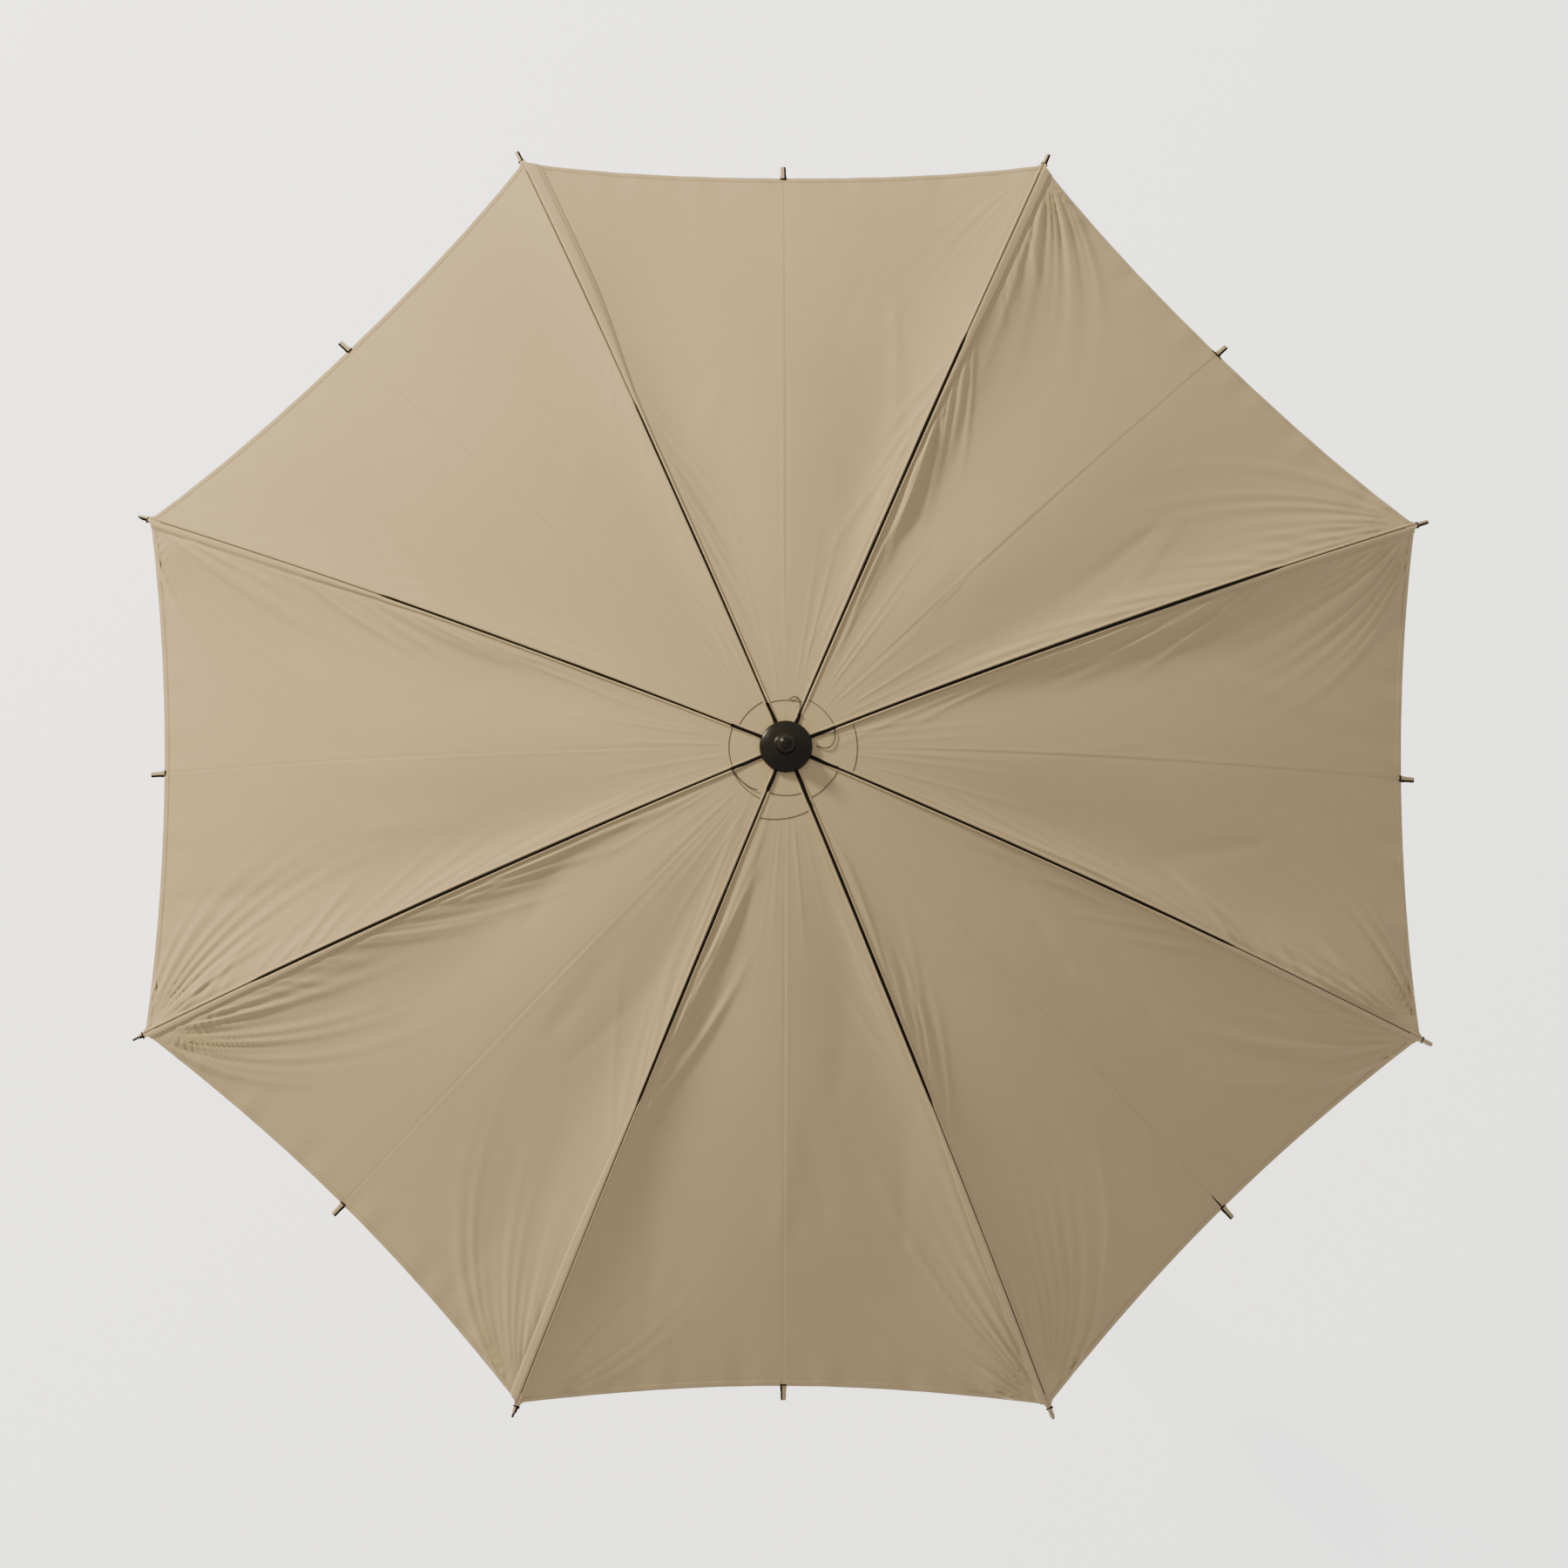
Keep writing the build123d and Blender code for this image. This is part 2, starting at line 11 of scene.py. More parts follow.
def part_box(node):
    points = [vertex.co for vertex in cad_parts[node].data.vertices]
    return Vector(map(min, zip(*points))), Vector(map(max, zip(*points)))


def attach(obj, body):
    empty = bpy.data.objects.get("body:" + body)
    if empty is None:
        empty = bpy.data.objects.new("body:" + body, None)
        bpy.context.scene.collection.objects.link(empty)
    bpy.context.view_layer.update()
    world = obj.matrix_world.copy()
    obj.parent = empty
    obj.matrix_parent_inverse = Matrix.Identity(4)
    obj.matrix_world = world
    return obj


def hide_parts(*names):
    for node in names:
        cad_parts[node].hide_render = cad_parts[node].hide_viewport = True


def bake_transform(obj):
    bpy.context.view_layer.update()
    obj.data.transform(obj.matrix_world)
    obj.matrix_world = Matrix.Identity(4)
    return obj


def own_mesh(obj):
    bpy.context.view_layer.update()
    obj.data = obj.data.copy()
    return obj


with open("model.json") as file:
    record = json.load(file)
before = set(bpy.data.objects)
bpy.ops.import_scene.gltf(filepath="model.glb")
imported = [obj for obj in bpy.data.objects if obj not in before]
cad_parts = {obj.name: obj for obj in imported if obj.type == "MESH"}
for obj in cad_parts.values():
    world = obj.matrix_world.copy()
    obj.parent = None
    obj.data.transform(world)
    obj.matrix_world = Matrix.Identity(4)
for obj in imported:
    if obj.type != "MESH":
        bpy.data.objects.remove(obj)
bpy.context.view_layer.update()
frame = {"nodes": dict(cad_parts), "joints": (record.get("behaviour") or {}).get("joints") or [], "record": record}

RIBS = 8
PITCH = math.radians(45)
HALF = PITCH / 2
COS, SIN, TAN = math.cos(HALF), math.sin(HALF), math.tan(HALF)

JOINTS = {j["name"]: j for j in frame["joints"]}
PIVOT = Vector(JOINTS["batten_1_fold"]["pos_m"])
PANEL_LOW, PANEL_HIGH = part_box("canopy_panel_1")
CAP_LOW, CAP_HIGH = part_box("finial_cap")
KNOB_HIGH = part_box("finial_knob")[1]

CORNER_R = PANEL_HIGH.x / COS          # fabric corner from the pole's axis
ARCH_RISE = 0.055                      # arch of a rib above its chord
FABRIC = 0.0008
APEX_Z = PANEL_HIGH.z
CORNER_Z = PANEL_LOW.z + FABRIC
HEM_SAG = 0.033                        # hem cut in at the middle of a panel
NECK = 0.005                           # corner drawn out along its rib's end
CAP_R = CAP_HIGH.x
PANEL_COLUMNS, PANEL_ROWS = 208, 156


# ---- shader tools ----------------------------------------------------------
class Socket:
    """A shader value that adds Math nodes when it is used in an expression."""

    def __init__(self, maker, link):
        self.maker, self.link = maker, link

    def _op(self, operation, a, b=0.0):
        return self.maker.node("ShaderNodeMath", {"operation": operation}, [a, b])

    def __add__(self, other):
        return self._op("ADD", self, other)

    def __sub__(self, other):
        return self._op("SUBTRACT", self, other)

    def __mul__(self, other):
        return self._op("MULTIPLY", self, other)

    def __abs__(self):
        return self._op("ABSOLUTE", self)

    def sine(self):
        return self._op("SINE", self)

    def most(self, other):
        return self._op("MAXIMUM", self, other)


class Finish:
    """A node material: a Principled shader and the nodes that feed it."""

    def __init__(self, name, color, roughness, **fixed):
        self.material = bpy.data.materials.new(name)
        self.material.use_nodes = True
        self.tree = self.material.node_tree
        self.shader = self.tree.nodes["Principled BSDF"]
        self.color = (*color, 1)
        self.shader.inputs["Base Color"].default_value = self.color
        self.shader.inputs["Roughness"].default_value = roughness
        for key, value in fixed.items():
            self.shader.inputs[key.replace("_", " ")].default_value = value
        coordinates = self.tree.nodes.new("ShaderNodeTexCoord")
        self.place = Socket(self, coordinates.outputs["Object"])

    def node(self, kind, settings, values, output=0):
        made = self.tree.nodes.new(kind)
        for key, value in settings.items():
            if key == "stops":
                self._ramp(made.color_ramp, value)
            else:
                setattr(made, key, value)
        pairs = values.items() if isinstance(values, dict) else enumerate(values)
        for key, value in pairs:
            if isinstance(value, Socket):
                self.tree.links.new(value.link, made.inputs[key])
            else:
                made.inputs[key].default_value = value
        return Socket(self, made.outputs[output])

    def _ramp(self, ramp, stops):
        while len(ramp.elements) < len(stops):
            ramp.elements.new(0.5)
        for element, (position, value) in zip(ramp.elements, stops):
            element.position = position
            element.color = (value, value, value, 1)

    def uv(self, axis):
        layer = self.node("ShaderNodeUVMap", {"uv_map": "cloth"}, [])
        return self.node("ShaderNodeSeparateXYZ", {}, [layer], axis)

    def noise(self, scale, detail=3.0, roughness=0.55, place=None):
        values = {"Vector": place or self.place, "Scale": scale}
        values.update({"Detail": detail, "Roughness": roughness})
        return self.node("ShaderNodeTexNoise", {}, values)

    def ramp(self, value, *stops):
        return self.node("ShaderNodeValToRGB", {"stops": stops}, [value])

    def spread(self, value, low, high, to_low, to_high):
        """value moved from one range to another and held at its ends."""
        return self.node("ShaderNodeMapRange", {}, [value, low, high, to_low, to_high])

    def blend(self, share, first, second):
        settings = {"data_type": "RGBA"}
        values = {0: share, 6: first, 7: second}
        return self.node("ShaderNodeMix", settings, values, 2)

    def feed(self, **links):
        for key, value in links.items():
            self.tree.links.new(value.link, self.shader.inputs[key.replace("_", " ")])
        return self

    def bump(self, *layers):
        """Heights in metres, each with its strength, from coarse to fine."""
        normal = None
        for height, strength, distance in layers:
            values = {"Height": height, "Strength": strength, "Distance": distance}
            if normal:
                values["Normal"] = normal
            normal = self.node("ShaderNodeBump", {}, values)
        return self.feed(Normal=normal)


def shade(color, factor):
    return (*[c * factor for c in color[:3]], 1)


# ---- finishes --------------------------------------------------------------
BEIGE = (0.374, 0.276, 0.142)


def fabric_finish(name, color, stitches=(), sheen=0.1, gloss=0.4, middle_seam=False):
    """Plain woven polyester with mottling, soft creases and stitch rows.

    The cloth's own map is in metres: across the panel, then along it. The
    middle seam is a ridge beside a shallow groove, down the panel's middle,
    with painted shade darkening the groove.
    """
    f = Finish(name, color, 0.82, Sheen_Weight=sheen, Sheen_Roughness=0.5, Specular_IOR_Level=gloss)
    across, along = f.uv(0), f.uv(1)
    thread = 2 * math.pi / 0.0011
    weave = (across * thread).sine() * (along * thread).sine()
    broad = f.noise(3.2, 4.0)
    mottle = f.noise(38.0, 3.0)
    slub = f.noise(900.0, 2.0)
    tone = f.spread(broad, 0.3, 0.7, 0.0, 1.0)
    base = f.blend(tone, shade(color, 0.965), shade(color, 1.03))
    speck = f.spread(mottle * 0.6 + slub * 0.4, 0.3, 0.7, 0.0, 1.0)
    base = f.blend(speck * 0.12, base, shade(color, 0.8))
    stitch = None
    for row in stitches:
        near = f.spread(abs(across - row), 0.0007, 0.0012, 1.0, 0.0)
        dash = f.spread((along * (2 * math.pi / 0.005)).sine(), -0.3, 0.1, 0.0, 1.0)
        one = near * dash
        stitch = one if stitch is None else stitch.most(one)
    layers = [(mottle, 0.25, 0.0012), (weave * 0.5 + slub, 0.22, 0.0004)]
    if stitch:
        base = f.blend(stitch * 0.6, base, shade(color, 0.55))
        layers.append((stitch, 0.5, 0.0006))
    if middle_seam:
        shown = f.spread(along, 0.25, 0.85, 0.35, 1.0)
        groove_and_painted_shade = f.spread(abs(across + 0.0012), 0.0006, 0.0036, 1.0, 0.0) * shown
        ridge_line = f.spread(abs(across - 0.0034), 0.0008, 0.004, 1.0, 0.0) * shown
        # painted shade: the groove is darkened in colour, as if shade fell into it
        base = f.blend(groove_and_painted_shade * 0.22, base, shade(color, 0.68))
        layers.insert(0, (ridge_line - groove_and_painted_shade, 0.2, 0.001))
    f.feed(Base_Color=base)
    f.feed(Roughness=f.spread(slub, 0.3, 0.7, 0.76, 0.9))
    f.bump(*layers)
    return f.material


def paint_finish(name, color, grain=1400.0, roughness=0.42):
    """Powder coat: fine orange peel, faint dust and duller patches."""
    f = Finish(name, color, roughness, Coat_Weight=0.15, Coat_Roughness=0.3)
    peel = f.noise(grain, 2.0)
    cloud = f.noise(9.0, 4.0)
    worn = f.spread(f.noise(60.0, 6.0, 0.7), 0.62, 0.75, 0.0, 0.35)
    base = f.blend(f.spread(cloud, 0.35, 0.7, 0.0, 1.0), color + (1,), shade(color, 1.7))
    base = f.blend(worn, base, shade(color, 2.6))
    f.feed(Base_Color=base)
    f.feed(Roughness=f.spread(cloud, 0.3, 0.7, roughness - 0.06, roughness + 0.12))
    f.bump((peel, 0.25, 0.0004))
    return f.material


def moulded_finish(name, color, roughness=0.5, spark=2200.0):
    """Spark-eroded moulded plastic with a little handling shine."""
    f = Finish(name, color, roughness)
    grain = f.noise(spark, 2.0, 0.7)
    hand = f.noise(22.0, 3.0)
    base = f.blend(f.spread(hand, 0.3, 0.7, 0.0, 1.0), color + (1,), shade(color, 1.35))
    f.feed(Base_Color=base)
    f.feed(Roughness=f.spread(hand, 0.3, 0.7, roughness - 0.1, roughness + 0.08))
    f.bump((hand, 0.08, 0.002), (grain, 0.3, 0.0003))
    return f.material


def gloss_finish(name, color):
    """Polished moulded plastic with faint swirl scratches."""
    f = Finish(name, color, 0.24, Specular_IOR_Level=0.13, Coat_Weight=0.03, Coat_Roughness=0.1)
    swirl = f.noise(160.0, 5.0, 0.75)
    film = f.noise(14.0, 3.0)
    base = f.blend(f.spread(film, 0.3, 0.7, 0.0, 1.0), color + (1,), shade(color, 1.4))
    f.feed(Base_Color=base)
    f.feed(Roughness=f.spread(swirl * 0.5 + film * 0.5, 0.35, 0.65, 0.2, 0.34))
    f.bump((swirl, 0.05, 0.0004))
    return f.material


def steel_finish(name, color):
    """Zinc-plated steel: drawn grain and cloudy plating."""
    f = Finish(name, color, 0.32, Metallic=1.0)
    stretch = f.node("ShaderNodeMapping", {}, {"Vector": f.place, "Scale": (1, 1, 14)})
    grain = f.noise(260.0, 4.0, 0.6, stretch)
    cloud = f.noise(70.0, 4.0)
    base = f.blend(f.spread(cloud, 0.3, 0.7, 0.0, 1.0), shade(color, 0.85), color + (1,))
    f.feed(Base_Color=base)
    f.feed(Roughness=f.spread(grain * 0.6 + cloud * 0.4, 0.35, 0.65, 0.24, 0.46))
    f.bump((grain, 0.12, 0.0003))
    return f.material


def casting_finish(name, color):
    """Painted sand casting: pebbled skin with patches of dust."""
    f = Finish(name, color, 0.62)
    pebble = f.noise(240.0, 4.0, 0.6)
    wave = f.noise(18.0, 3.0)
    dust = f.spread(f.noise(11.0, 6.0, 0.65), 0.5, 0.72, 0.0, 0.4)
    base = f.blend(f.spread(pebble, 0.35, 0.65, 0.0, 1.0), shade(color, 0.7), shade(color, 1.5))
    base = f.blend(dust, base, (0.16, 0.145, 0.12, 1))
    f.feed(Base_Color=base)
    f.feed(Roughness=f.spread(wave, 0.3, 0.7, 0.5, 0.72))
    f.bump((wave, 0.2, 0.003), (pebble, 0.55, 0.0009))
    return f.material


def cord_finish(name, color):
    """Braided cord: two crossing families of strands around the cord."""
    f = Finish(name, color, 0.75, Sheen_Weight=0.2)
    xyz = [f.node("ShaderNodeSeparateXYZ", {}, [f.place], i) for i in range(3)]
    around = f.node("ShaderNodeMath", {"operation": "ARCTAN2"}, [xyz[1], xyz[0] - 0.023])
    up = xyz[2] * 1500.0
    strands = ((up + around * 3.0).sine() + 1) * ((up - around * 3.0).sine() + 1) * 0.25
    f.feed(Base_Color=f.blend(strands, shade(color, 0.5), shade(color, 1.5)))
    f.bump((strands, 0.6, 0.0006))
    return f.material


def floor_finish():
    f = Finish("pale_floor", (0.9, 0.9, 0.9), 0.9, Emission_Color=(1, 1, 1, 1))
    f.shader.inputs["Emission Strength"].default_value = 1.5
    patch = f.noise(1.5, 3.0)
    f.feed(Base_Color=f.blend(patch, (0.9, 0.9, 0.9, 1), (0.92, 0.92, 0.92, 1)))
    return f.material


BLACK = (0.012, 0.0115, 0.011)
FINISHES = {
    "canopy_fabric": fabric_finish("canopy_fabric", BEIGE, middle_seam=True),
    "seam_fabric": fabric_finish("seam_fabric", BEIGE, (-0.0058, 0.0088)),
    "hem_fabric": fabric_finish("hem_fabric", BEIGE, (0.002,)),
    "webbing": fabric_finish("webbing", shade(BEIGE, 0.95)[:3], (-0.003, 0.003)),
    "thread": fabric_finish("thread", (0.055, 0.04, 0.023)),
    "waxed_thread": moulded_finish("waxed_thread", (0.006, 0.005, 0.004), 0.8, 3000.0),
    "binding": fabric_finish("binding", (0.004, 0.0032, 0.002), sheen=0.0, gloss=0.12),
    "black_paint": paint_finish("black_paint", BLACK),
    "black_plastic": moulded_finish("black_plastic", (0.016, 0.0155, 0.015)),
    "gloss_plastic": gloss_finish("gloss_plastic", (0.0086, 0.0068, 0.0041)),
    "white_plastic": moulded_finish("white_plastic", (0.7, 0.69, 0.65), 0.4),
    "cord": cord_finish("cord", (0.05, 0.05, 0.05)),
    "steel": steel_finish("steel", (0.58, 0.57, 0.55)),
    "cast_iron": casting_finish("cast_iron", (0.02, 0.02, 0.021)),
    "rubber": moulded_finish("rubber", (0.014, 0.014, 0.014), 0.8, 900.0),
}


def finish_frame():
    """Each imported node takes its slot's finish."""
    for part in frame["record"]["subparts"]:
        node = frame["nodes"][part["node"]]
        for place in node.material_slots:
            place.material = FINISHES[part["material_slot"]]


# ---- mesh tools ------------------------------------------------------------
def finish_piece(mesh, name, finish, body, turn=0.0):
    """A finished piece at the origin, turned about the pole and on its body."""
    mesh.transform(Matrix.Rotation(turn, 4, "Z"))
    mesh.shade_smooth()
    piece = bpy.data.objects.new(name, mesh)
    bpy.context.collection.objects.link(piece)
    mesh.materials.append(FINISHES[finish])
    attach(piece, body)
    return piece


def sheet_mesh(name, columns, rows, place, cloth=None):
    """A grid shaped by place(u, v), with u along in 0..1 and v across in -1..1."""
    bm = bmesh.new()
    bmesh.ops.create_grid(bm, x_segments=columns, y_segments=rows, size=1)
    mesh = bpy.data.meshes.new(name)
    bm.to_mesh(mesh)
    bm.free()
    co = np.empty(len(mesh.vertices) * 3)
    mesh.vertices.foreach_get("co", co)
    u, v = co[0::3] / 2 + 0.5, co[1::3]
    points = np.stack(place(u, v), axis=1)
    mesh.vertices.foreach_set("co", points.ravel())
    flat = np.stack(cloth(u, v), axis=1) if cloth else points[:, [1, 0]]
    corner = np.empty(len(mesh.loops), dtype=np.int32)
    mesh.loops.foreach_get("vertex_index", corner)
    layer = mesh.uv_layers.new(name="cloth")
    layer.data.foreach_set("uv", flat[corner].ravel())
    mesh.update()
    return mesh


def thicken(piece, thickness, offset=-1.0):
    wall = piece.modifiers.new("thickness", "SOLIDIFY")
    wall.thickness = thickness
    wall.offset = offset
    return piece


def tube_mesh(name, points, radii, sides=10):
    """A closed tube along smooth points, with its own radius at each."""
    curve = bpy.data.curves.new(name, "CURVE")
    curve.dimensions = "3D"
    curve.bevel_depth = 1.0
    curve.bevel_resolution = max(sides // 2 - 2, 1)
    curve.use_fill_caps = True
    spline = curve.splines.new("POLY")
    spline.points.add(len(points) - 1)
    for point, place, radius in zip(spline.points, points, radii):
        point.co = (*place, 1)
        point.radius = radius
    carrier = bpy.data.objects.new(name, curve)
    bpy.context.collection.objects.link(carrier)
    depsgraph = bpy.context.evaluated_depsgraph_get()
    mesh = bpy.data.meshes.new_from_object(carrier.evaluated_get(depsgraph))
    bpy.data.objects.remove(carrier)
    bm = bmesh.new()
    bm.from_mesh(mesh)
    bmesh.ops.remove_doubles(bm, verts=bm.verts, dist=1e-6)
    bmesh.ops.recalc_face_normals(bm, faces=bm.faces)
    bm.to_mesh(mesh)
    bm.free()
    if "cloth" not in mesh.uv_layers:
        mesh.uv_layers.new(name="cloth")
    return mesh


def smooth(low, high, value):
    t = np.clip((value - low) / (high - low), 0, 1)
    return t * t * (3 - 2 * t)


# ---- canopy surface --------------------------------------------------------
class Profile:
    """Height of the fabric over a rib, an arch from the apex to the corner."""

    def __init__(self):
        start = np.array([PIVOT.x, APEX_Z])
        end = np.array([CORNER_R, CORNER_Z])
        chord = end - start
        length = np.hypot(*chord)
        down = np.array([chord[1], -chord[0]]) / length
        self.radius = (length ** 2 / 4 + ARCH_RISE ** 2) / (2 * ARCH_RISE)
        self.centre = (start + end) / 2 + down * (self.radius - ARCH_RISE)

    def __call__(self, radius):
        outside = np.maximum(radius, PIVOT.x) - self.centre[0]
        return self.centre[1] + np.sqrt(self.radius ** 2 - outside ** 2)


profile = Profile()


class Fold:
    """A tension fold: a curved ridge with one steep side, fading at its ends."""

    def __init__(self, start, heading, length, width, height, bend, lean):
        self.start, self.length, self.width = start, length, width
        self.height, self.bend, self.lean = height, bend, lean
        self.along = np.array([math.cos(heading), math.sin(heading)])

    def __call__(self, x, y):
        dx, dy = x - self.start[0], y - self.start[1]
        s = dx * self.along[0] + dy * self.along[1]
        n = -dx * self.along[1] + dy * self.along[0] - self.bend * s * s
        t = np.clip(s / self.length, -0.2, 1.2)
        wide = self.width * (0.45 + 0.9 * np.clip(t, 0, 1))
        body = np.exp(-((n / wide) ** 2))
        skew = np.tanh(n / wide * 1.6) * np.exp(-((n / wide / 1.5) ** 2))
        fade = smooth(-0.02, 0.16, t) * (1 - smooth(0.45, 1.0, t))
        return self.height * fade * (body + self.lean * skew)


# Both sides of each rib, clockwise then counter-clockwise: how far out its
# folds start, then how strong the folds, the corner's fan and the gathers are.
SIDES = [
    ((0.72, 1.0, 1.1, 0.4), (0.75, 0.5, 0.9, 0.6)),
    ((0.66, 1.0, 1.3, 0.6), (0.60, 0.3, 0.2, 0.0)),
    ((0.55, 0.5, 0.2, 0.0), (0.60, 0.05, 0.05, 0.0)),
    ((0.70, 0.1, 0.15, 0.0), (0.74, 0.9, 1.5, 0.7)),
    ((0.65, 0.3, 1.2, 0.9), (0.64, 0.9, 1.6, 0.9)),
    ((0.60, 0.3, 1.0, 0.3), (0.55, 0.9, 0.4, 0.1)),
    ((0.60, 0.4, 1.7, 0.5), (0.55, 0.6, 1.2, 0.3)),
    ((0.65, 0.3, 0.9, 0.3), (0.72, 0.8, 1.6, 1.6)),
]
# Which side of each rib the seam is lapped to (1 is counter-clockwise), and
# how wide the lap is at its outer end.
LAPS = [
    (-1, 0.014),
    (-1, 0.022),
    (-1, 0.028),
    (1, 0.014),
    (1, 0.014),
    (-1, 0.018),
    (-1, 0.016),
    (-1, 0.016),
]
LIP = 0.0042                           # rolled edge beyond the gap
SEAM_TURNS = 0.0145                    # cloth taken up by a seam's gap and lips
# For each rib: the share of its length that shows its black binding, then the
# binding's half width beside the finial, in its middle and at its outer end.
BINDINGS = [
    (0.79, 0.0015, 0.0030, 0.0022),
    (0.70, 0.0009, 0.0026, 0.0020),
    (0.58, 0.0009, 0.0018, 0.0012),
    (0.64, 0.0009, 0.0020, 0.0018),
    (0.84, 0.0010, 0.0026, 0.0020),
    (0.56, 0.0009, 0.0022, 0.0019),
    (0.56, 0.0021, 0.0026, 0.0019),
    (0.71, 0.0012, 0.0022, 0.0016),
]


def binding_width(rib, radius):
    """Half the width of the black line in a rib's seam."""
    reach, near, middle, far = BINDINGS[rib % RIBS]
    share = radius / (CORNER_R * reach)
    places = [0.05, 0.3, 0.45, 0.75, 0.97, 1.0]
    widths = [near, near * 0.4 + middle * 0.6, middle, middle, far, 0.0]
    width = np.interp(share, places, widths)
    return width * (1 + 0.1 * np.sin(share * 17 + rib) * np.cos(share * 7 + 2 * rib))


def groove(rib, radius):
    """Half the gap between a seam's two lips."""
    return 0.0009 + 0.85 * binding_width(rib, radius)


def lap_width(rib, side, radius):
    """Width of the seam beyond its groove, on one side of a rib."""
    lapped, wide = LAPS[rib % RIBS]
    if side != lapped:
        return LIP + 0 * radius
    return LIP + (wide - LIP) * smooth(0.5, 0.8, radius / CORNER_R)


def seam_place(share, side, inset):
    """A place beside a seam: a share of its length out, and a distance from it."""
    reach = share * CORNER_R
    return reach * COS - inset * SIN, side * (reach * SIN - inset * COS)


def seam_folds(side, waist, strength, gather, draw):
    """Folds that leave a seam and open towards the middle of the canopy."""
    folds = []
    count = round(3 + 8 * strength)
    for k in range(count):
        share = k / max(count - 1, 1)
        start = seam_place(waist + 0.06 - 0.21 * share + draw.uniform(-0.012, 0.012), side, 0.006)
        opening = math.radians(9 + 13 * (1 - share) + draw.uniform(-2, 2))
        heading = math.pi + side * (HALF + opening)
        length = draw.uniform(0.26, 0.5)
        width = draw.uniform(0.0062, 0.0098)
        height = draw.uniform(0.0015, 0.0031) * (0.2 + 0.8 * strength)
        bend = -side * draw.uniform(0.1, 0.55)
        folds.append(Fold(start, heading, length, width, height, bend, -side * 0.2))
    for k in range(6):
        start = seam_place(draw.uniform(0.3, 0.62), side, draw.uniform(0.014, 0.045))
        heading = math.pi + side * (HALF + draw.uniform(-0.03, 0.04))
        length = draw.uniform(0.2, 0.42)
        height = draw.uniform(0.0004, 0.0012) * (0.35 + strength)
        folds.append(Fold(start, heading, length, 0.006, height, side * draw.uniform(-0.1, 0.2), 0.1))
    for k in range(round(8 * min(gather, 1))):
        start = seam_place(0.95 - 0.035 * k + draw.uniform(-0.01, 0.01), side, 0.005)
        heading = math.pi + side * (HALF + math.radians(draw.uniform(26, 38)))
        length = draw.uniform(0.12, 0.24)
        height = draw.uniform(0.001, 0.0022) * (0.4 + gather)
        folds.append(Fold(start, heading, length, 0.008, height, -side * draw.uniform(0.3, 0.9), 0.1))
    return folds


def rays(draw):
    """Faint pleats that radiate from the ring seam around the finial."""
    folds = []
    for angle in np.linspace(-HALF * 0.8, HALF * 0.8, 8):
        angle = angle + draw.uniform(-0.035, 0.035)
        inner = draw.uniform(0.09, 0.16)
        start = (inner * math.cos(angle), inner * math.sin(angle))
        length = draw.uniform(0.2, 0.5)
        height = draw.uniform(0.0001, 0.0009)
        folds.append(Fold(start, angle, length, 0.0055, height, draw.uniform(-0.06, 0.06), 0.1))
    return folds


def soft_folds(draw):
    """Long shallow waves that cross the open cloth."""
    folds = []
    for k in range(7):
        x = draw.uniform(0.45, 1.0) * CORNER_R * COS
        start = (x, draw.uniform(-0.6, 0.6) * x * TAN)
        heading = math.pi + draw.uniform(-0.35, 0.35)
        length = draw.uniform(0.3, 0.6)
        width = draw.uniform(0.018, 0.04)
        height = draw.uniform(-0.0018, 0.0018)
        folds.append(Fold(start, heading, length, width, height, draw.uniform(-0.4, 0.4), 0))
    return folds


def corner_fan(strength, draw):
    """Creases that radiate from a corner: angle from the rib, width, height, reach."""
    count = 10
    angles = np.linspace(0.1, 1.05, count) + draw.uniform(-0.03, 0.03, count)
    widths = draw.uniform(0.024, 0.04, count)
    heights = draw.uniform(0.003, 0.0065, count) * strength
    reaches = draw.uniform(0.17, 0.36, count)
    return list(zip(angles, widths, heights, reaches))


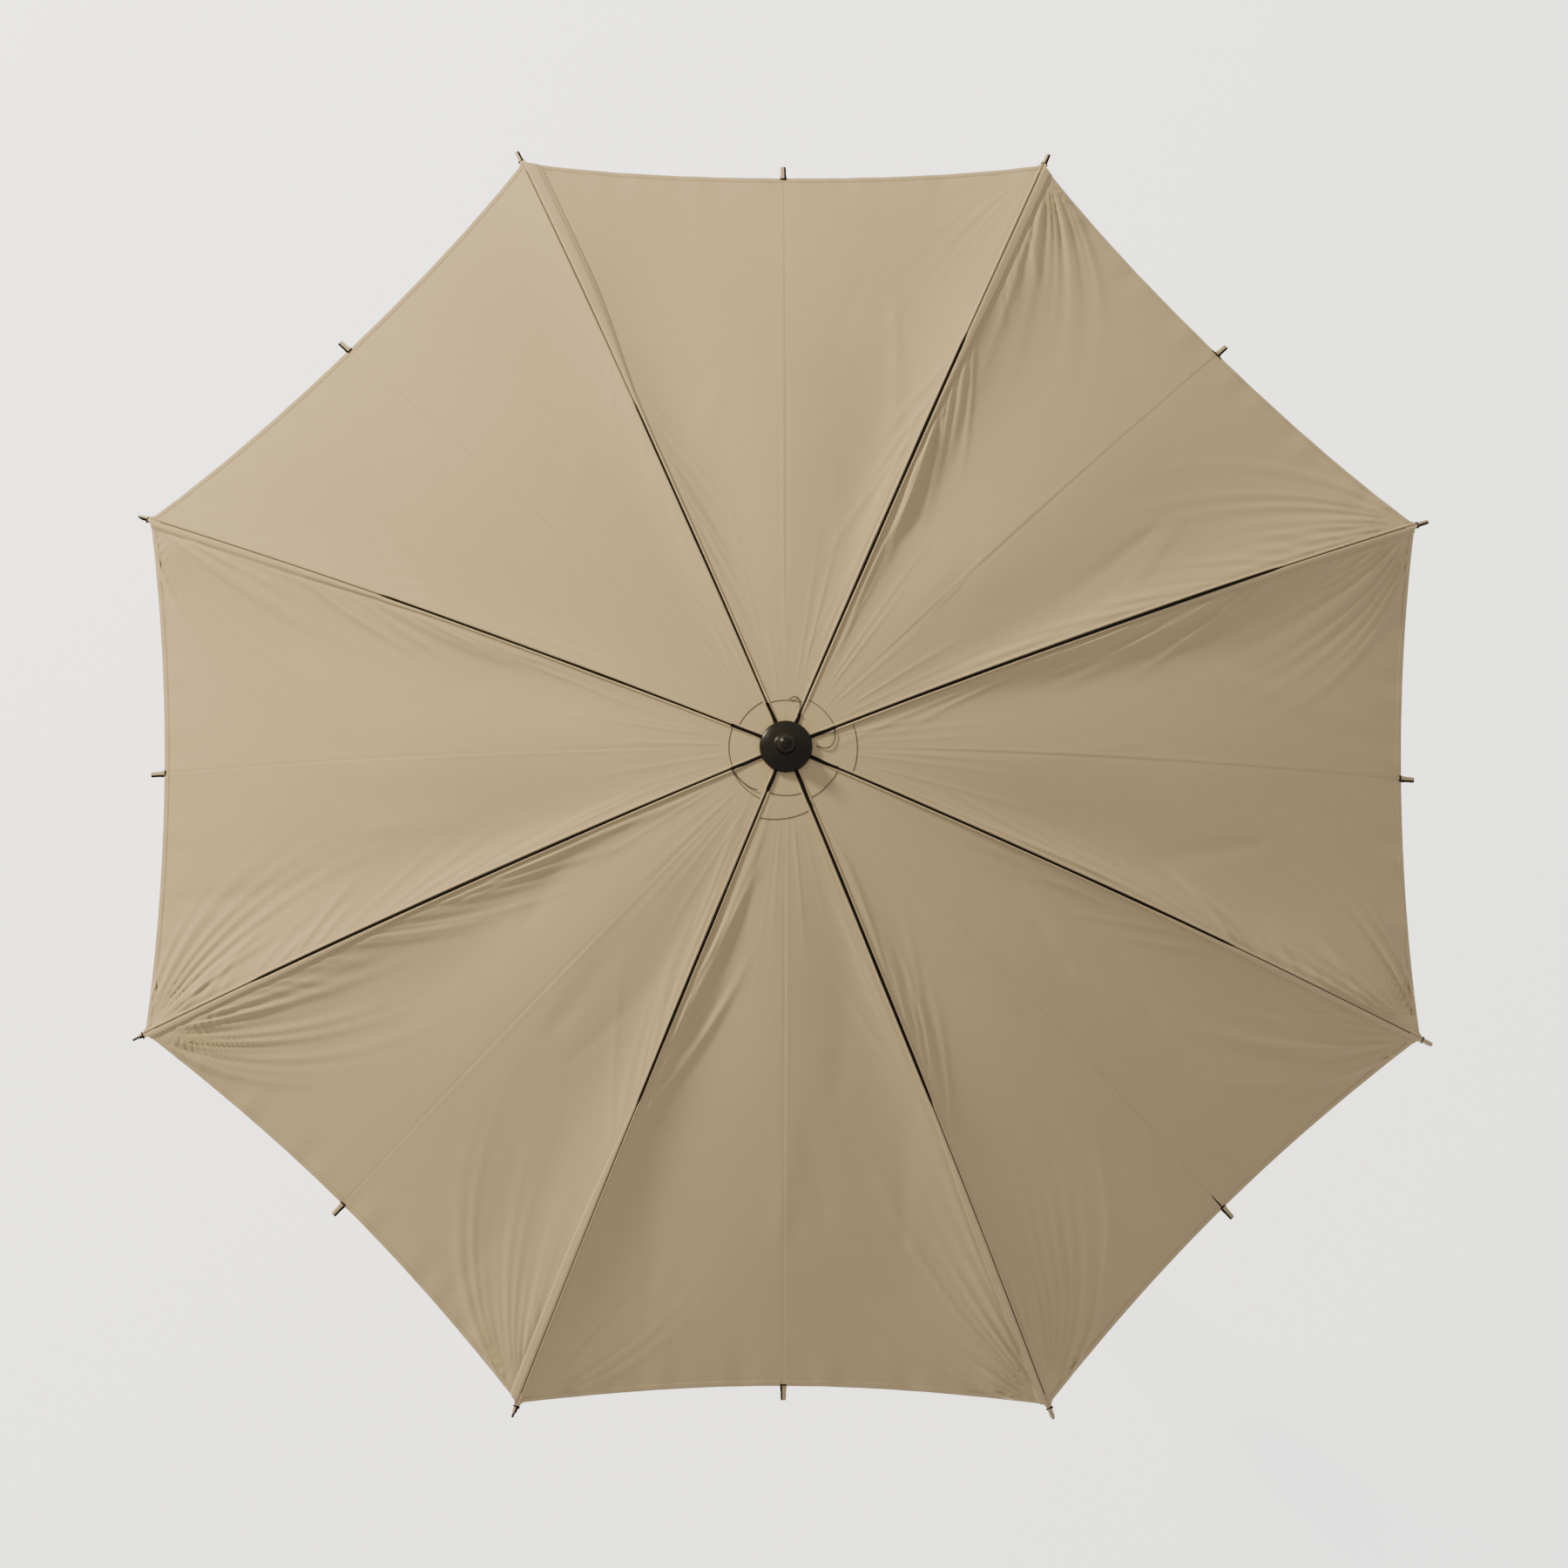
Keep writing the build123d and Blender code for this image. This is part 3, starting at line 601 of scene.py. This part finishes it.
class Panel:
    """The relief of one panel over its plain arch, in the panel's own plan."""

    def __init__(self, number):
        self.number = number
        draw = np.random.default_rng(100 + number)
        # a panel's own +y edge is its rib's clockwise side
        self.edges = {1: SIDES[number][0], -1: SIDES[number - 1][1]}
        self.folds = rays(draw) + soft_folds(draw)
        self.fans = {}
        for side, (waist, strength, fan, gather) in self.edges.items():
            self.folds += seam_folds(side, waist, strength, gather, draw)
            self.fans[side] = corner_fan(fan, draw)
        self.phase = draw.uniform(0, 6.28, 2)

    def relief(self, x, y):
        radius = x / COS
        seam = x * SIN - np.abs(y) * COS         # distance from the nearer seam
        width = np.where(
            y > 0,
            lap_width(self.number, -1, radius),
            lap_width(self.number - 1, 1, radius),
        )
        out = self.hem_wave(x, y)
        for fold in self.folds:
            out = out + fold(x, y)
        for side in (-1, 1):
            out = out + self.fan(x, y, side)
        gap = np.where(y > 0, groove(self.number, radius), groove(self.number - 1, radius))
        width = width + gap
        out = out * smooth(width - 0.003, width + 0.011, seam)
        return out + self.sag(x, y) + self.crease(x, y)

    def sag(self, x, y):
        """The cloth hangs between a rib and its batten, most near the rib."""
        share = np.clip(np.abs(y) / np.maximum(x * TAN, 1e-4), 0, 1)
        hang = np.sin(math.pi * share ** 1.8)
        inside = hem_x(y) - x
        return -0.014 * hang * smooth(0.1, 0.65, x) * (0.45 + 0.55 * smooth(0.0, 0.3, inside))

    def fan(self, x, y, side):
        dx = x - CORNER_R * COS
        dy = y - side * CORNER_R * SIN
        r = np.hypot(dx, dy)
        angle = np.arctan2(-side * dy, -dx) - HALF
        total = 0
        for middle, width, height, reach in self.fans[side]:
            fade = smooth(0.02, 0.1, r) * np.exp(-((r / reach) ** 2))
            across = (angle - middle * (1 - 0.9 * r)) / width
            total = total + height * fade * np.exp(-(across ** 2)) * (1 + 0.3 * np.tanh(across))
        return total

    def hem_wave(self, x, y):
        inside = hem_x(y) - x
        wave = np.sin(y * 58 + self.phase[0]) + 0.7 * np.sin(y * 97 + self.phase[1])
        return 0.0007 * wave * np.exp(-((inside / 0.05) ** 2))

    def crease(self, x, y):
        """The middle seam: a low ridge beside a groove, deeper at the hem.

        The finish carries the fine part of this seam, which the mesh is too
        coarse to hold, and paints shade into its groove.
        """
        near = smooth(0.12, 0.5, x) * 0.9 + 1.6 * smooth(1.1, 1.21, x)
        ridge = np.exp(-(((y - 0.0042) / 0.0036) ** 2))
        valley = np.exp(-(((y + 0.002) / 0.0028) ** 2))
        return near * (0.0006 * ridge - 0.0008 * valley)

    def height(self, x, y):
        return profile(x / COS) + self.relief(x, y)


def hem_x(y):
    """The hem's distance out at a place across the panel: one shallow arc."""
    half = CORNER_R * SIN
    away = half - np.minimum(np.abs(y), half)
    arc = HEM_SAG * (1 - (1 - away / half) ** 2)
    return CORNER_R * COS - arc + NECK * np.exp(-((away / 0.005) ** 2))


PANELS = [Panel(i) for i in range(RIBS)]
INNER_X = 0.024


def hem_reach(slope):
    """Where a ray from the pole at y = slope * x meets the hem."""
    x = np.full_like(slope, CORNER_R * COS)
    for _ in range(8):
        x = hem_x(slope * x)
    return x


def gather(piece, i):
    """Gives the piece its own copy of its mesh."""
    angle = PITCH * i
    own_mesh(piece)


def on_panel(mesh, name, finish, i):
    """A piece that lies on panel i, on its batten's body."""
    piece = finish_piece(mesh, name, finish, f"batten_{i + 1}", PITCH * i)
    gather(piece, i)
    return piece


def panel_piece(i):
    """Cloth between two ribs; its edges lie under the seams."""

    def place(u, v):
        slope = (np.sin(v * math.pi / 2) * 0.35 + v * 0.65) * TAN
        x = INNER_X + (hem_reach(slope) - INNER_X) * u
        y = slope * x
        y = np.sign(y) * np.maximum(np.abs(y) - 0.003 * np.abs(v), 0)
        z = PANELS[i].height(x, y)
        plain = profile(x / COS)
        z = np.where(np.abs(y) < 0.006, np.maximum(z, plain - 0.0004), z)
        return x, y, z

    name = f"panel_cloth_{i + 1}"
    mesh = sheet_mesh(name, PANEL_COLUMNS, PANEL_ROWS, place)
    piece = on_panel(mesh, name, "canopy_fabric", i)
    thicken(piece, FABRIC)
    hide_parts(f"canopy_panel_{i + 1}")
    return piece


def hem_piece(i):
    """Tape folded over the panel's edge and stitched through."""
    turns = [(-0.0095, 0.0001), (-0.009, 0.0003), (-0.005, 0.0005), (-0.001, 0.0006)]
    turns += [(0.0005, 0.0002), (0.0008, -0.0005), (0.0002, -0.0013), (-0.004, -0.0014)]
    turns += [(-0.009, -0.0013)]
    count = len(turns) - 1
    out, up = np.array(turns).T
    length = np.concatenate([[0], np.cumsum(np.hypot(np.diff(out), np.diff(up)))])
    half = CORNER_R * SIN - 0.004

    def place(u, v):
        index = u * count
        y = v * half
        edge = hem_x(y)
        inside = np.interp(index, range(count + 1), out)
        x = edge + inside
        y = y * x / edge
        z = PANELS[i].height(x, y) + np.interp(index, range(count + 1), up)
        return x, y, z

    def cloth(u, v):
        return np.interp(u * count, range(count + 1), length), v * half

    name = f"hem_{i + 1}"
    piece = on_panel(sheet_mesh(name, count, 150, place, cloth), name, "hem_fabric", i)
    return thicken(piece, 0.0003)


# Distance of each panel's ring seam from the pole.
RINGS = [0.139, 0.104, 0.094, 0.101, 0.111, 0.114, 0.096, 0.111]


def ring_piece(i, name, start, end):
    """A corded seam across the panel, near the finial."""
    share = np.linspace(-0.93, 0.93, 40)
    radius = start + (end - start) * (share + 1) / 2
    x, y = radius * np.cos(share * HALF), radius * np.sin(share * HALF)
    z = PANELS[i].height(x, y) + 0.0002
    mesh = tube_mesh(name, list(zip(x, y, z)), np.full(40, 0.0008), 8)
    return on_panel(mesh, name, "thread", i)


# ---- seams -----------------------------------------------------------------
SEAM_ROOT = 0.03                       # seam's inner end, under the finial
BINDING_ROOT = 0.05
STRAP_ROOT = 0.0475
# Distance from the pole to the end of each rib's strap.
STRAPS = [0.101, 0.07, 0.094, 0.114, 0.114, 0.092, 0.12, 0.107]


def cloth_over(i, radius, offset):
    """Height of the cloth beside rib i, at a radius and an offset across it."""
    left = PANELS[(i + 1) % RIBS]
    right = PANELS[i]
    away = np.maximum(np.abs(offset), 0.003)
    x = radius * COS + away * SIN
    y = radius * SIN - away * COS
    on_left = left.height(x, -y)
    on_right = right.height(x, y)
    return np.where(offset > 0, on_left, on_right)


# Across a seam: place in the groove, share of the lip or lap, height, stitch map.
SEAM_SECTION = [
    (-1, -1.3, 0.0001, -0.0085),
    (-1, -1.0, 0.0004, -0.0075),
    (-1, -0.7, 0.0013, -0.006),
    (-1, -0.35, 0.0017, -0.0048),
    (-1, -0.08, 0.0012, -0.0036),
    (-0.9, 0, 0.0, -0.003),
    (0, 0, -0.0003, 0),
    (0.9, 0, 0.0, 0.003),
    (1, 0.06, 0.0014, 0.0036),
    (1, 0.2, 0.0021, 0.0048),
    (1, 0.4, 0.0025, 0.006),
    (1, 0.6, 0.0026, 0.0072),
    (1, 0.78, 0.0024, 0.0084),
    (1, 0.92, 0.0015, 0.0096),
    (1, 1.0, 0.0004, 0.0105),
    (1, 1.12, 0.0001, 0.0115),
]


def seam_piece(i):
    """The lapped seam over a rib, out to the fabric's corner."""
    lapped, _ = LAPS[i]
    section = np.array(SEAM_SECTION if lapped > 0 else SEAM_SECTION[::-1])
    count = len(section) - 1
    across = range(count + 1)

    def strip(u, v):
        index = (v + 1) / 2 * count
        radius = SEAM_ROOT + (CORNER_R + NECK - SEAM_ROOT) * u
        share = np.interp(index, across, section[:, 1])
        wide = np.where(share > 0, lap_width(i, lapped, radius), LIP)
        offset = lapped * (np.interp(index, across, section[:, 0]) * groove(i, radius) + share * wide)
        limit = np.minimum(radius * TAN * 0.8, np.maximum(CORNER_R - radius, 0) * 1.7 + 0.0045)
        return index, radius, np.clip(offset, -limit, limit)

    def place(u, v):
        index, radius, offset = strip(u, v)
        rise = np.interp(index, across, section[:, 2]) * smooth(0.05, 0.11, radius)
        swell = 1 + 0.25 * np.sin(radius * 9 + i) * np.cos(radius * 4 + 2 * i)
        z = cloth_over(i, radius, offset) + 0.0004 + rise * swell
        return radius, offset, z

    def cloth(u, v):
        index, radius, offset = strip(u, v)
        return np.interp(index, across, section[:, 3]), radius

    name = f"seam_{i + 1}"
    mesh = sheet_mesh(name, 230, count, place, cloth)
    piece = finish_piece(mesh, name, "seam_fabric", f"rib_{i + 1}", HALF + PITCH * i)
    return thicken(piece, 0.0005)


def flattened(mesh, points, keep):
    """A round tube pressed flat onto the cloth that its line follows."""
    line = np.array(points)
    co = np.empty(len(mesh.vertices) * 3)
    mesh.vertices.foreach_get("co", co)
    co = co.reshape(-1, 3)
    level = np.interp(co[:, 0], line[:, 0], line[:, 2])
    co[:, 2] = level + (co[:, 2] - level) * keep
    mesh.vertices.foreach_set("co", co.ravel())
    return mesh


def along_rib(i, name, finish, radius, offset, thick, lift, keep=1.0):
    """A line of binding, strap or thread that follows a rib's seam."""
    z = cloth_over(i, radius, offset) + lift
    points = list(zip(radius, offset, z))
    mesh = flattened(tube_mesh(name, points, thick, 10), points, keep)
    return finish_piece(mesh, name, finish, f"rib_{i + 1}", HALF + PITCH * i)


def binding_piece(i):
    """Black binding that shows in the seam, thickest where it is pulled most."""
    share = np.linspace(0.0, 1.0, 110)
    radius = BINDING_ROOT + (CORNER_R * BINDINGS[i][0] - BINDING_ROOT) * share
    width = binding_width(i, radius) + 0.0003
    offset = 0.0006 * np.sin(share * 8 + i)
    name = f"seam_binding_{i + 1}"
    return along_rib(i, name, "binding", radius, offset, width, 0.0012, 0.5)


def seam_painted_shadow(i):
    """Painted shadow of the lapped seam: a dark line from the end of the binding to the corner."""
    reach = BINDINGS[i][0]
    share = np.linspace(0, 1, 60)
    radius = CORNER_R * (reach - 0.02) + (CORNER_R * (1.005 - reach)) * share
    offset = 0.0006 * np.sin(share * 5 + i)
    thick = 0.0014 * (1 - 0.3 * share)
    return along_rib(i, f"seam_painted_shadow_{i + 1}", "thread", radius, offset, thick, 0.0009, 0.5)


def strap(i):
    """Black strap from under the finial, with a knot at its end."""
    share = np.linspace(0, 1, 24)
    radius = STRAP_ROOT + (STRAPS[i] - STRAP_ROOT) * share
    thick = 0.0034 + 0.0004 * np.sin(share * 4 + i)
    offset = 0.0004 * np.sin(share * 6 + i)
    piece = along_rib(i, f"strap_{i + 1}", "binding", radius, offset, thick, 0.002, 0.5)
    knot = ball(f"strap_knot_{i + 1}", (STRAPS[i], 0.0006, 0), 0.0031)
    knot.transform(Matrix.Translation((0, 0, float(cloth_over(i, STRAPS[i], 0.0006)) + 0.0026)))
    finish_piece(knot, knot.name, "binding", f"rib_{i + 1}", HALF + PITCH * i)
    return piece


def ball(name, place, radius):
    bm = bmesh.new()
    bmesh.ops.create_icosphere(bm, subdivisions=3, radius=radius)
    bmesh.ops.translate(bm, verts=bm.verts, vec=place)
    mesh = bpy.data.meshes.new(name)
    bm.to_mesh(mesh)
    bm.free()
    mesh.uv_layers.new(name="cloth")
    return mesh


THREAD_D = 0.0019
# Loose thread ends: the rib, the thread's length, then its way as (out from
# the pole, across the rib).
THREADS = {
    "long": (
        0,
        0.07,
        [(0.101, 0), (0.1, -0.01), (0.092, -0.026), (0.078, -0.034), (0.064, -0.03), (0.056, -0.021)],
    ),
    "hook": (
        1,
        0.05,
        [(0.07, 0.002), (0.082, 0.004), (0.095, 0.009), (0.101, 0.017), (0.099, 0.026), (0.09, 0.03)],
    ),
    "ring": (
        4,
        0.07,
        [(0.114, 0), (0.112, 0.014), (0.107, 0.028), (0.1, 0.041), (0.092, 0.053), (0.084, 0.058)],
    ),
}


def thread_piece(name):
    rib, length, way = THREADS[name]
    spin = Matrix.Rotation(HALF + PITCH * rib, 3, "Z")
    curve = bpy.data.curves.new(f"thread_{name}", "CURVE")
    curve.dimensions = "3D"
    curve.bevel_depth = THREAD_D / 2
    curve.bevel_resolution = 2
    curve.use_fill_caps = True
    spline = curve.splines.new("NURBS")
    spline.points.add(len(way) - 1)
    for point, (radius, offset) in zip(spline.points, way):
        lift = float(cloth_over(rib, radius, offset)) + 0.003
        point.co = (*(spin @ Vector((radius, offset, lift))), 1)
    spline.order_u = 3
    spline.use_endpoint_u = True
    curve.materials.append(FINISHES["waxed_thread"])
    piece = bpy.data.objects.new(f"thread_{name}", curve)
    bpy.context.collection.objects.link(piece)
    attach(piece, f"rib_{rib + 1}")


def lifting_cord():
    """The run from the crown's pulley to the runner, as a fixed tube; the real run grows as the runner lowers."""
    low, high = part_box("cord_to_runner")
    x, radius = (low.x + high.x) / 2, (high.x - low.x) / 2
    heights = np.linspace(high.z, low.z, 90)
    line = [(x, 0, z) for z in heights]
    mesh = tube_mesh("lifting_cord", line, np.full(90, radius), 12)
    mesh.shade_smooth()
    mesh.materials.append(FINISHES["cord"])
    piece = bpy.data.objects.new("lifting_cord", mesh)
    bpy.context.collection.objects.link(piece)
    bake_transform(piece)
    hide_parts("cord_to_runner")


# ---- rib tips and batten tabs ----------------------------------------------
TIP_SLOPE = math.tan(math.radians(22.4))   # fall of a rib's end rod
TAB_SLOPE = math.tan(math.radians(20.5))   # fall of a batten's end
KNOT_STEPS = 32


def sleeve_mesh(name, start, end, radii, flat, around):
    """Webbing wrapped over the top of a bar, from start to end.

    start and end are (out, up) places of the bar's middle line, and radii
    the sleeve's radius at each.
    """
    (x0, z0), (x1, z1) = start, end
    slope = math.atan2(z1 - z0, x1 - x0)
    first, last = around

    def place(u, v):
        angle = first + (last - first) * (v + 1) / 2
        wide = (radii[0] + (radii[1] - radii[0]) * u) * (1 + 0.05 * np.sin(u * 9))
        side, up = np.sin(angle) * wide, np.cos(angle) * wide * flat
        x = x0 + (x1 - x0) * u - up * math.sin(slope)
        z = z0 + (z1 - z0) * u + up * math.cos(slope)
        return x, side, z

    def cloth(u, v):
        return v * radii[0], u * (x1 - x0)

    return sheet_mesh(name, 24, 16, place, cloth)


# How much of each rib's end rod its sleeve covers, and the angle of its open
# edge from the top: beyond that edge, on the edge's side, a black sleeve shows as painted shade.
SLEEVES = [
    (1.0, -0.2),
    (1.0, -0.12),
    (1.0, -0.02),
    (0.75, 0.1),
    (0.5, 0.1),
    (0.65, 0.1),
    (0.85, 0.8),
    (0.9, -1.2),
]


def tip_pieces(i):
    """Webbing sleeve over a rib's end rod, a black sleeve of painted shade on its shaded side, and the knot that
    ties the corner.
    """
    turn = HALF + PITCH * i
    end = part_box("rib_1")[1]
    reach = math.hypot(end.x, end.y)
    x0 = CORNER_R - 0.004
    z0 = CORNER_Z - 0.0093 + 0.004 * TIP_SLOPE
    cover, edge = SLEEVES[i]
    x1 = x0 + (reach + 0.0005 - x0) * cover
    start, stop = (x0, z0), (x1, z0 - (x1 - x0) * TIP_SLOPE)
    around = (-1.9, edge) if edge > 0 else (edge, 1.9)
    name = f"tip_sleeve_{i + 1}"
    mesh = sleeve_mesh(name, start, stop, (0.0068, 0.0043), 1.0, around)
    piece = finish_piece(mesh, name, "webbing", f"rib_{i + 1}", turn)
    thicken(piece, 0.0006)
    # painted shade: a black sleeve over the side of the rod away from the key light
    shade_span = (edge, edge + 1.5) if edge > 0 else (edge - 1.5, edge)
    name = f"tip_painted_shade_{i + 1}"
    mesh = sleeve_mesh(name, start, stop, (0.0064, 0.0041), 1.0, shade_span)
    thicken(finish_piece(mesh, name, "binding", f"rib_{i + 1}", turn), 0.0004)
    ring = []
    for k in range(KNOT_STEPS + 1):
        a = k / KNOT_STEPS * 2 * math.pi * 1.5
        wide = 0.0062 + 0.0004 * math.sin(a * 2)
        out = x0 + 0.004 + NECK + 0.002 * k / KNOT_STEPS
        up = z0 - (out - x0) * TIP_SLOPE + wide * math.cos(a)
        ring.append((out, wide * math.sin(a), up))
    knot = tube_mesh(f"tip_knot_{i + 1}", ring, np.full(KNOT_STEPS + 1, 0.0015), 8)
    finish_piece(knot, knot.name, "binding", f"rib_{i + 1}", turn)


# How far the painted shade in each panel's middle seam groove runs in from the hem.
HEM_CREASE_SHADES = [0.012, 0.012, 0.01, 0.034, 0.01, 0.034, 0.01, 0.042]


def tab_pieces(i):
    """Webbing over a batten's end where it comes out of the hem, with a black sleeve of painted shade on its
    shaded side, a bartack, and a dark strip of painted shade in the middle seam's groove.
    """
    turn = PITCH * i
    hem = CORNER_R * COS - HEM_SAG
    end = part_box("batten_1")[1].x + 0.001
    z0 = float(profile(hem / COS)) - FABRIC - 0.0028
    x0 = hem - 0.006
    start = (x0, z0 + 0.006 * TAB_SLOPE)
    stop = (end, z0 - (end - hem) * TAB_SLOPE)
    name = f"tab_webbing_{i + 1}"
    shaded = 1 if 3 <= i <= 5 else -1
    around = (-1.5, 0.3) if shaded > 0 else (-0.3, 1.5)
    mesh = sleeve_mesh(name, start, stop, (0.0074, 0.0052), 0.5, around)
    piece = finish_piece(mesh, name, "webbing", f"batten_{i + 1}", turn)
    thicken(piece, 0.0006)
    # painted shade: a black sleeve over the side of the batten's end away from the key light
    shade_span = (0.3, 1.6) if shaded > 0 else (-1.6, -0.3)
    name = f"tab_painted_shade_{i + 1}"
    mesh = sleeve_mesh(name, start, stop, (0.0072, 0.005), 0.5, shade_span)
    thicken(finish_piece(mesh, name, "binding", f"batten_{i + 1}", turn), 0.0004)
    across = np.linspace(-0.0062, 0.0062, 12) * (2.0 if i == 1 else 1.0)
    lift = profile((hem - 0.001) / COS) + 0.0012 - 0.0001 * across
    points = list(zip(hem_x(across) - 0.0012, across, lift))
    bar = tube_mesh(f"tab_bartack_{i + 1}", points, np.full(12, 0.0015), 8)
    finish_piece(bar, bar.name, "binding", f"batten_{i + 1}", turn)
    # painted shade: a dark strip in the middle seam's groove, running in from the hem
    share = np.linspace(0, 1, 16)
    out = hem - HEM_CREASE_SHADES[i] * (1 - share)
    side = -0.0015 + 0 * share
    points = list(zip(out, side, PANELS[i].height(out, side) + 0.0008))
    thick = 0.0004 + 0.0022 * share
    crease_shade = flattened(tube_mesh(f"tab_crease_shade_{i + 1}", points, thick, 8), points, 0.5)
    finish_piece(crease_shade, crease_shade.name, "binding", f"batten_{i + 1}", turn)


# ---- camera, light and floor -----------------------------------------------
def camera():
    """Almost straight down, from a little in front of the umbrella."""
    tilt, side, distance = math.radians(12.5), math.radians(-1.06), 26.67
    target = Vector((0, 0, 2.07))
    back = Vector((math.sin(side), -math.sin(tilt) * math.cos(side), math.cos(tilt) * math.cos(side)))
    data = bpy.data.cameras.new("camera")
    data.lens = 311.62
    data.shift_x = 0.0005
    data.shift_y = -0.0041
    data.clip_end = 200
    seen = bpy.data.objects.new("camera", data)
    seen.location = target + back * distance
    seen.rotation_mode = "QUATERNION"
    right = (-back).cross(Vector((0, 1, 0))).normalized()
    up = right.cross(-back)
    seen.rotation_quaternion = Matrix((right, up, back)).transposed().to_quaternion()
    bpy.context.collection.objects.link(seen)
    bpy.context.scene.camera = seen


def area_light(name, place, size, power, color):
    data = bpy.data.lights.new(name, "AREA")
    data.color = color
    data.shape = "DISK"
    data.size = size
    data.energy = power
    light = bpy.data.objects.new(name, data)
    light.location = place
    aim = Vector((0, 0, 2.2)) - Vector(place)
    light.rotation_mode = "QUATERNION"
    light.rotation_quaternion = aim.to_track_quat("-Z", "Y")
    bpy.context.collection.objects.link(light)


KEY_PLACE, KEY_SIZE = (-6.88, 6.19, 5.75), 1.5
KEY_POWER, KEY_COLOR = 1955, (1, 0.905, 0.655)
ROOM_COLOR, ROOM_STRENGTH = (0.99, 1, 1.05, 1), 0.82


def studio():
    """Soft warm key from one side, a bright room and a pale floor."""
    world = bpy.data.worlds.new("room")
    world.use_nodes = True
    room = world.node_tree.nodes["Background"]
    room.inputs["Color"].default_value = ROOM_COLOR
    room.inputs["Strength"].default_value = ROOM_STRENGTH
    bpy.context.scene.world = world
    area_light("key", KEY_PLACE, KEY_SIZE, KEY_POWER, KEY_COLOR)
    mesh = bpy.data.meshes.new("floor")
    bm = bmesh.new()
    bmesh.ops.create_grid(bm, x_segments=1, y_segments=1, size=40)
    bm.to_mesh(mesh)
    bm.free()
    floor = bpy.data.objects.new("floor", mesh)
    mesh.materials.append(floor_finish())
    bpy.context.collection.objects.link(floor)


def finial():
    """One turned dome with a nipple, in place of the cap and its knob."""
    top, base = KNOB_HIGH.z, CAP_LOW.z
    seat, nipple = base + 0.0188, 0.0205
    brim = CAP_R * 1.06
    outline = [(brim - 0.006, base), (brim - 0.0015, base + 0.0004), (brim, base + 0.0025)]
    dome = [(0.015, 0.2), (0.05, 0.36), (0.1, 0.44), (0.2, 0.53)]
    dome += [(0.4, 0.69), (0.6, 0.83), (0.8, 0.94), (0.94, 1.0)]
    for inward, up in dome:
        radius = brim + (nipple + 0.003 - brim) * inward
        outline.append((radius, base + 0.0025 + (seat - base - 0.0025) * up))
    outline += [(nipple + 0.0012, seat + 0.0012), (nipple, seat + 0.0035)]
    for k in range(1, 9):
        a = k / 8 * math.pi / 2
        outline.append((nipple * math.cos(a), seat + 0.0035 + (top - seat - 0.0035) * math.sin(a)))
    bm = bmesh.new()
    verts = [bm.verts.new((r, 0, z)) for r, z in outline]
    edges = [bm.edges.new(pair) for pair in zip(verts, verts[1:])]
    bmesh.ops.spin(
        bm,
        geom=verts + edges,
        cent=(0, 0, 0),
        axis=(0, 0, 1),
        angle=2 * math.pi,
        steps=64,
        use_merge=True,
    )
    bmesh.ops.remove_doubles(bm, verts=bm.verts, dist=1e-5)
    rim = [e for e in bm.edges if e.is_boundary]
    bmesh.ops.holes_fill(bm, edges=rim)
    bmesh.ops.recalc_face_normals(bm, faces=bm.faces)
    mesh = bpy.data.meshes.new("finial")
    bm.to_mesh(mesh)
    bm.free()
    piece = finish_piece(mesh, "finial", "gloss_plastic", "mast")
    smoothing = piece.modifiers.new("smooth", "SUBSURF")
    smoothing.levels = smoothing.render_levels = 1
    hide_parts("finial_cap", "finial_knob")


camera()
studio()
finish_frame()
finial()
lifting_cord()
cloths = [panel_piece(i) for i in range(RIBS)]
seams = [seam_piece(i) for i in range(RIBS)]
trims = {}
for i in range(RIBS):
    trims[i] = [hem_piece(i), ring_piece(i, f"ring_seam_{i + 1}", RINGS[i], RINGS[i])]
    binding_piece(i)
    seam_painted_shadow(i)
    strap(i)
    tip_pieces(i)
    tab_pieces(i)
trims[6].append(ring_piece(6, "ring_seam_patch", 0.15, 0.132))
for name in THREADS:
    thread_piece(name)

for i in range(RIBS):
    width, length = 2 * CORNER_R * SIN, CORNER_R * COS * 1.02
    f"rib_{i + 1}"
    f"batten_{i + 1}"
    0.5 * width * length - width * HEM_SAG * 2 / 3
    wide, length = LAPS[i][1] + SEAM_TURNS, CORNER_R * 1.02
    mean = SEAM_TURNS + LIP + 0.35 * (LAPS[i][1] - LIP)
    mean * length
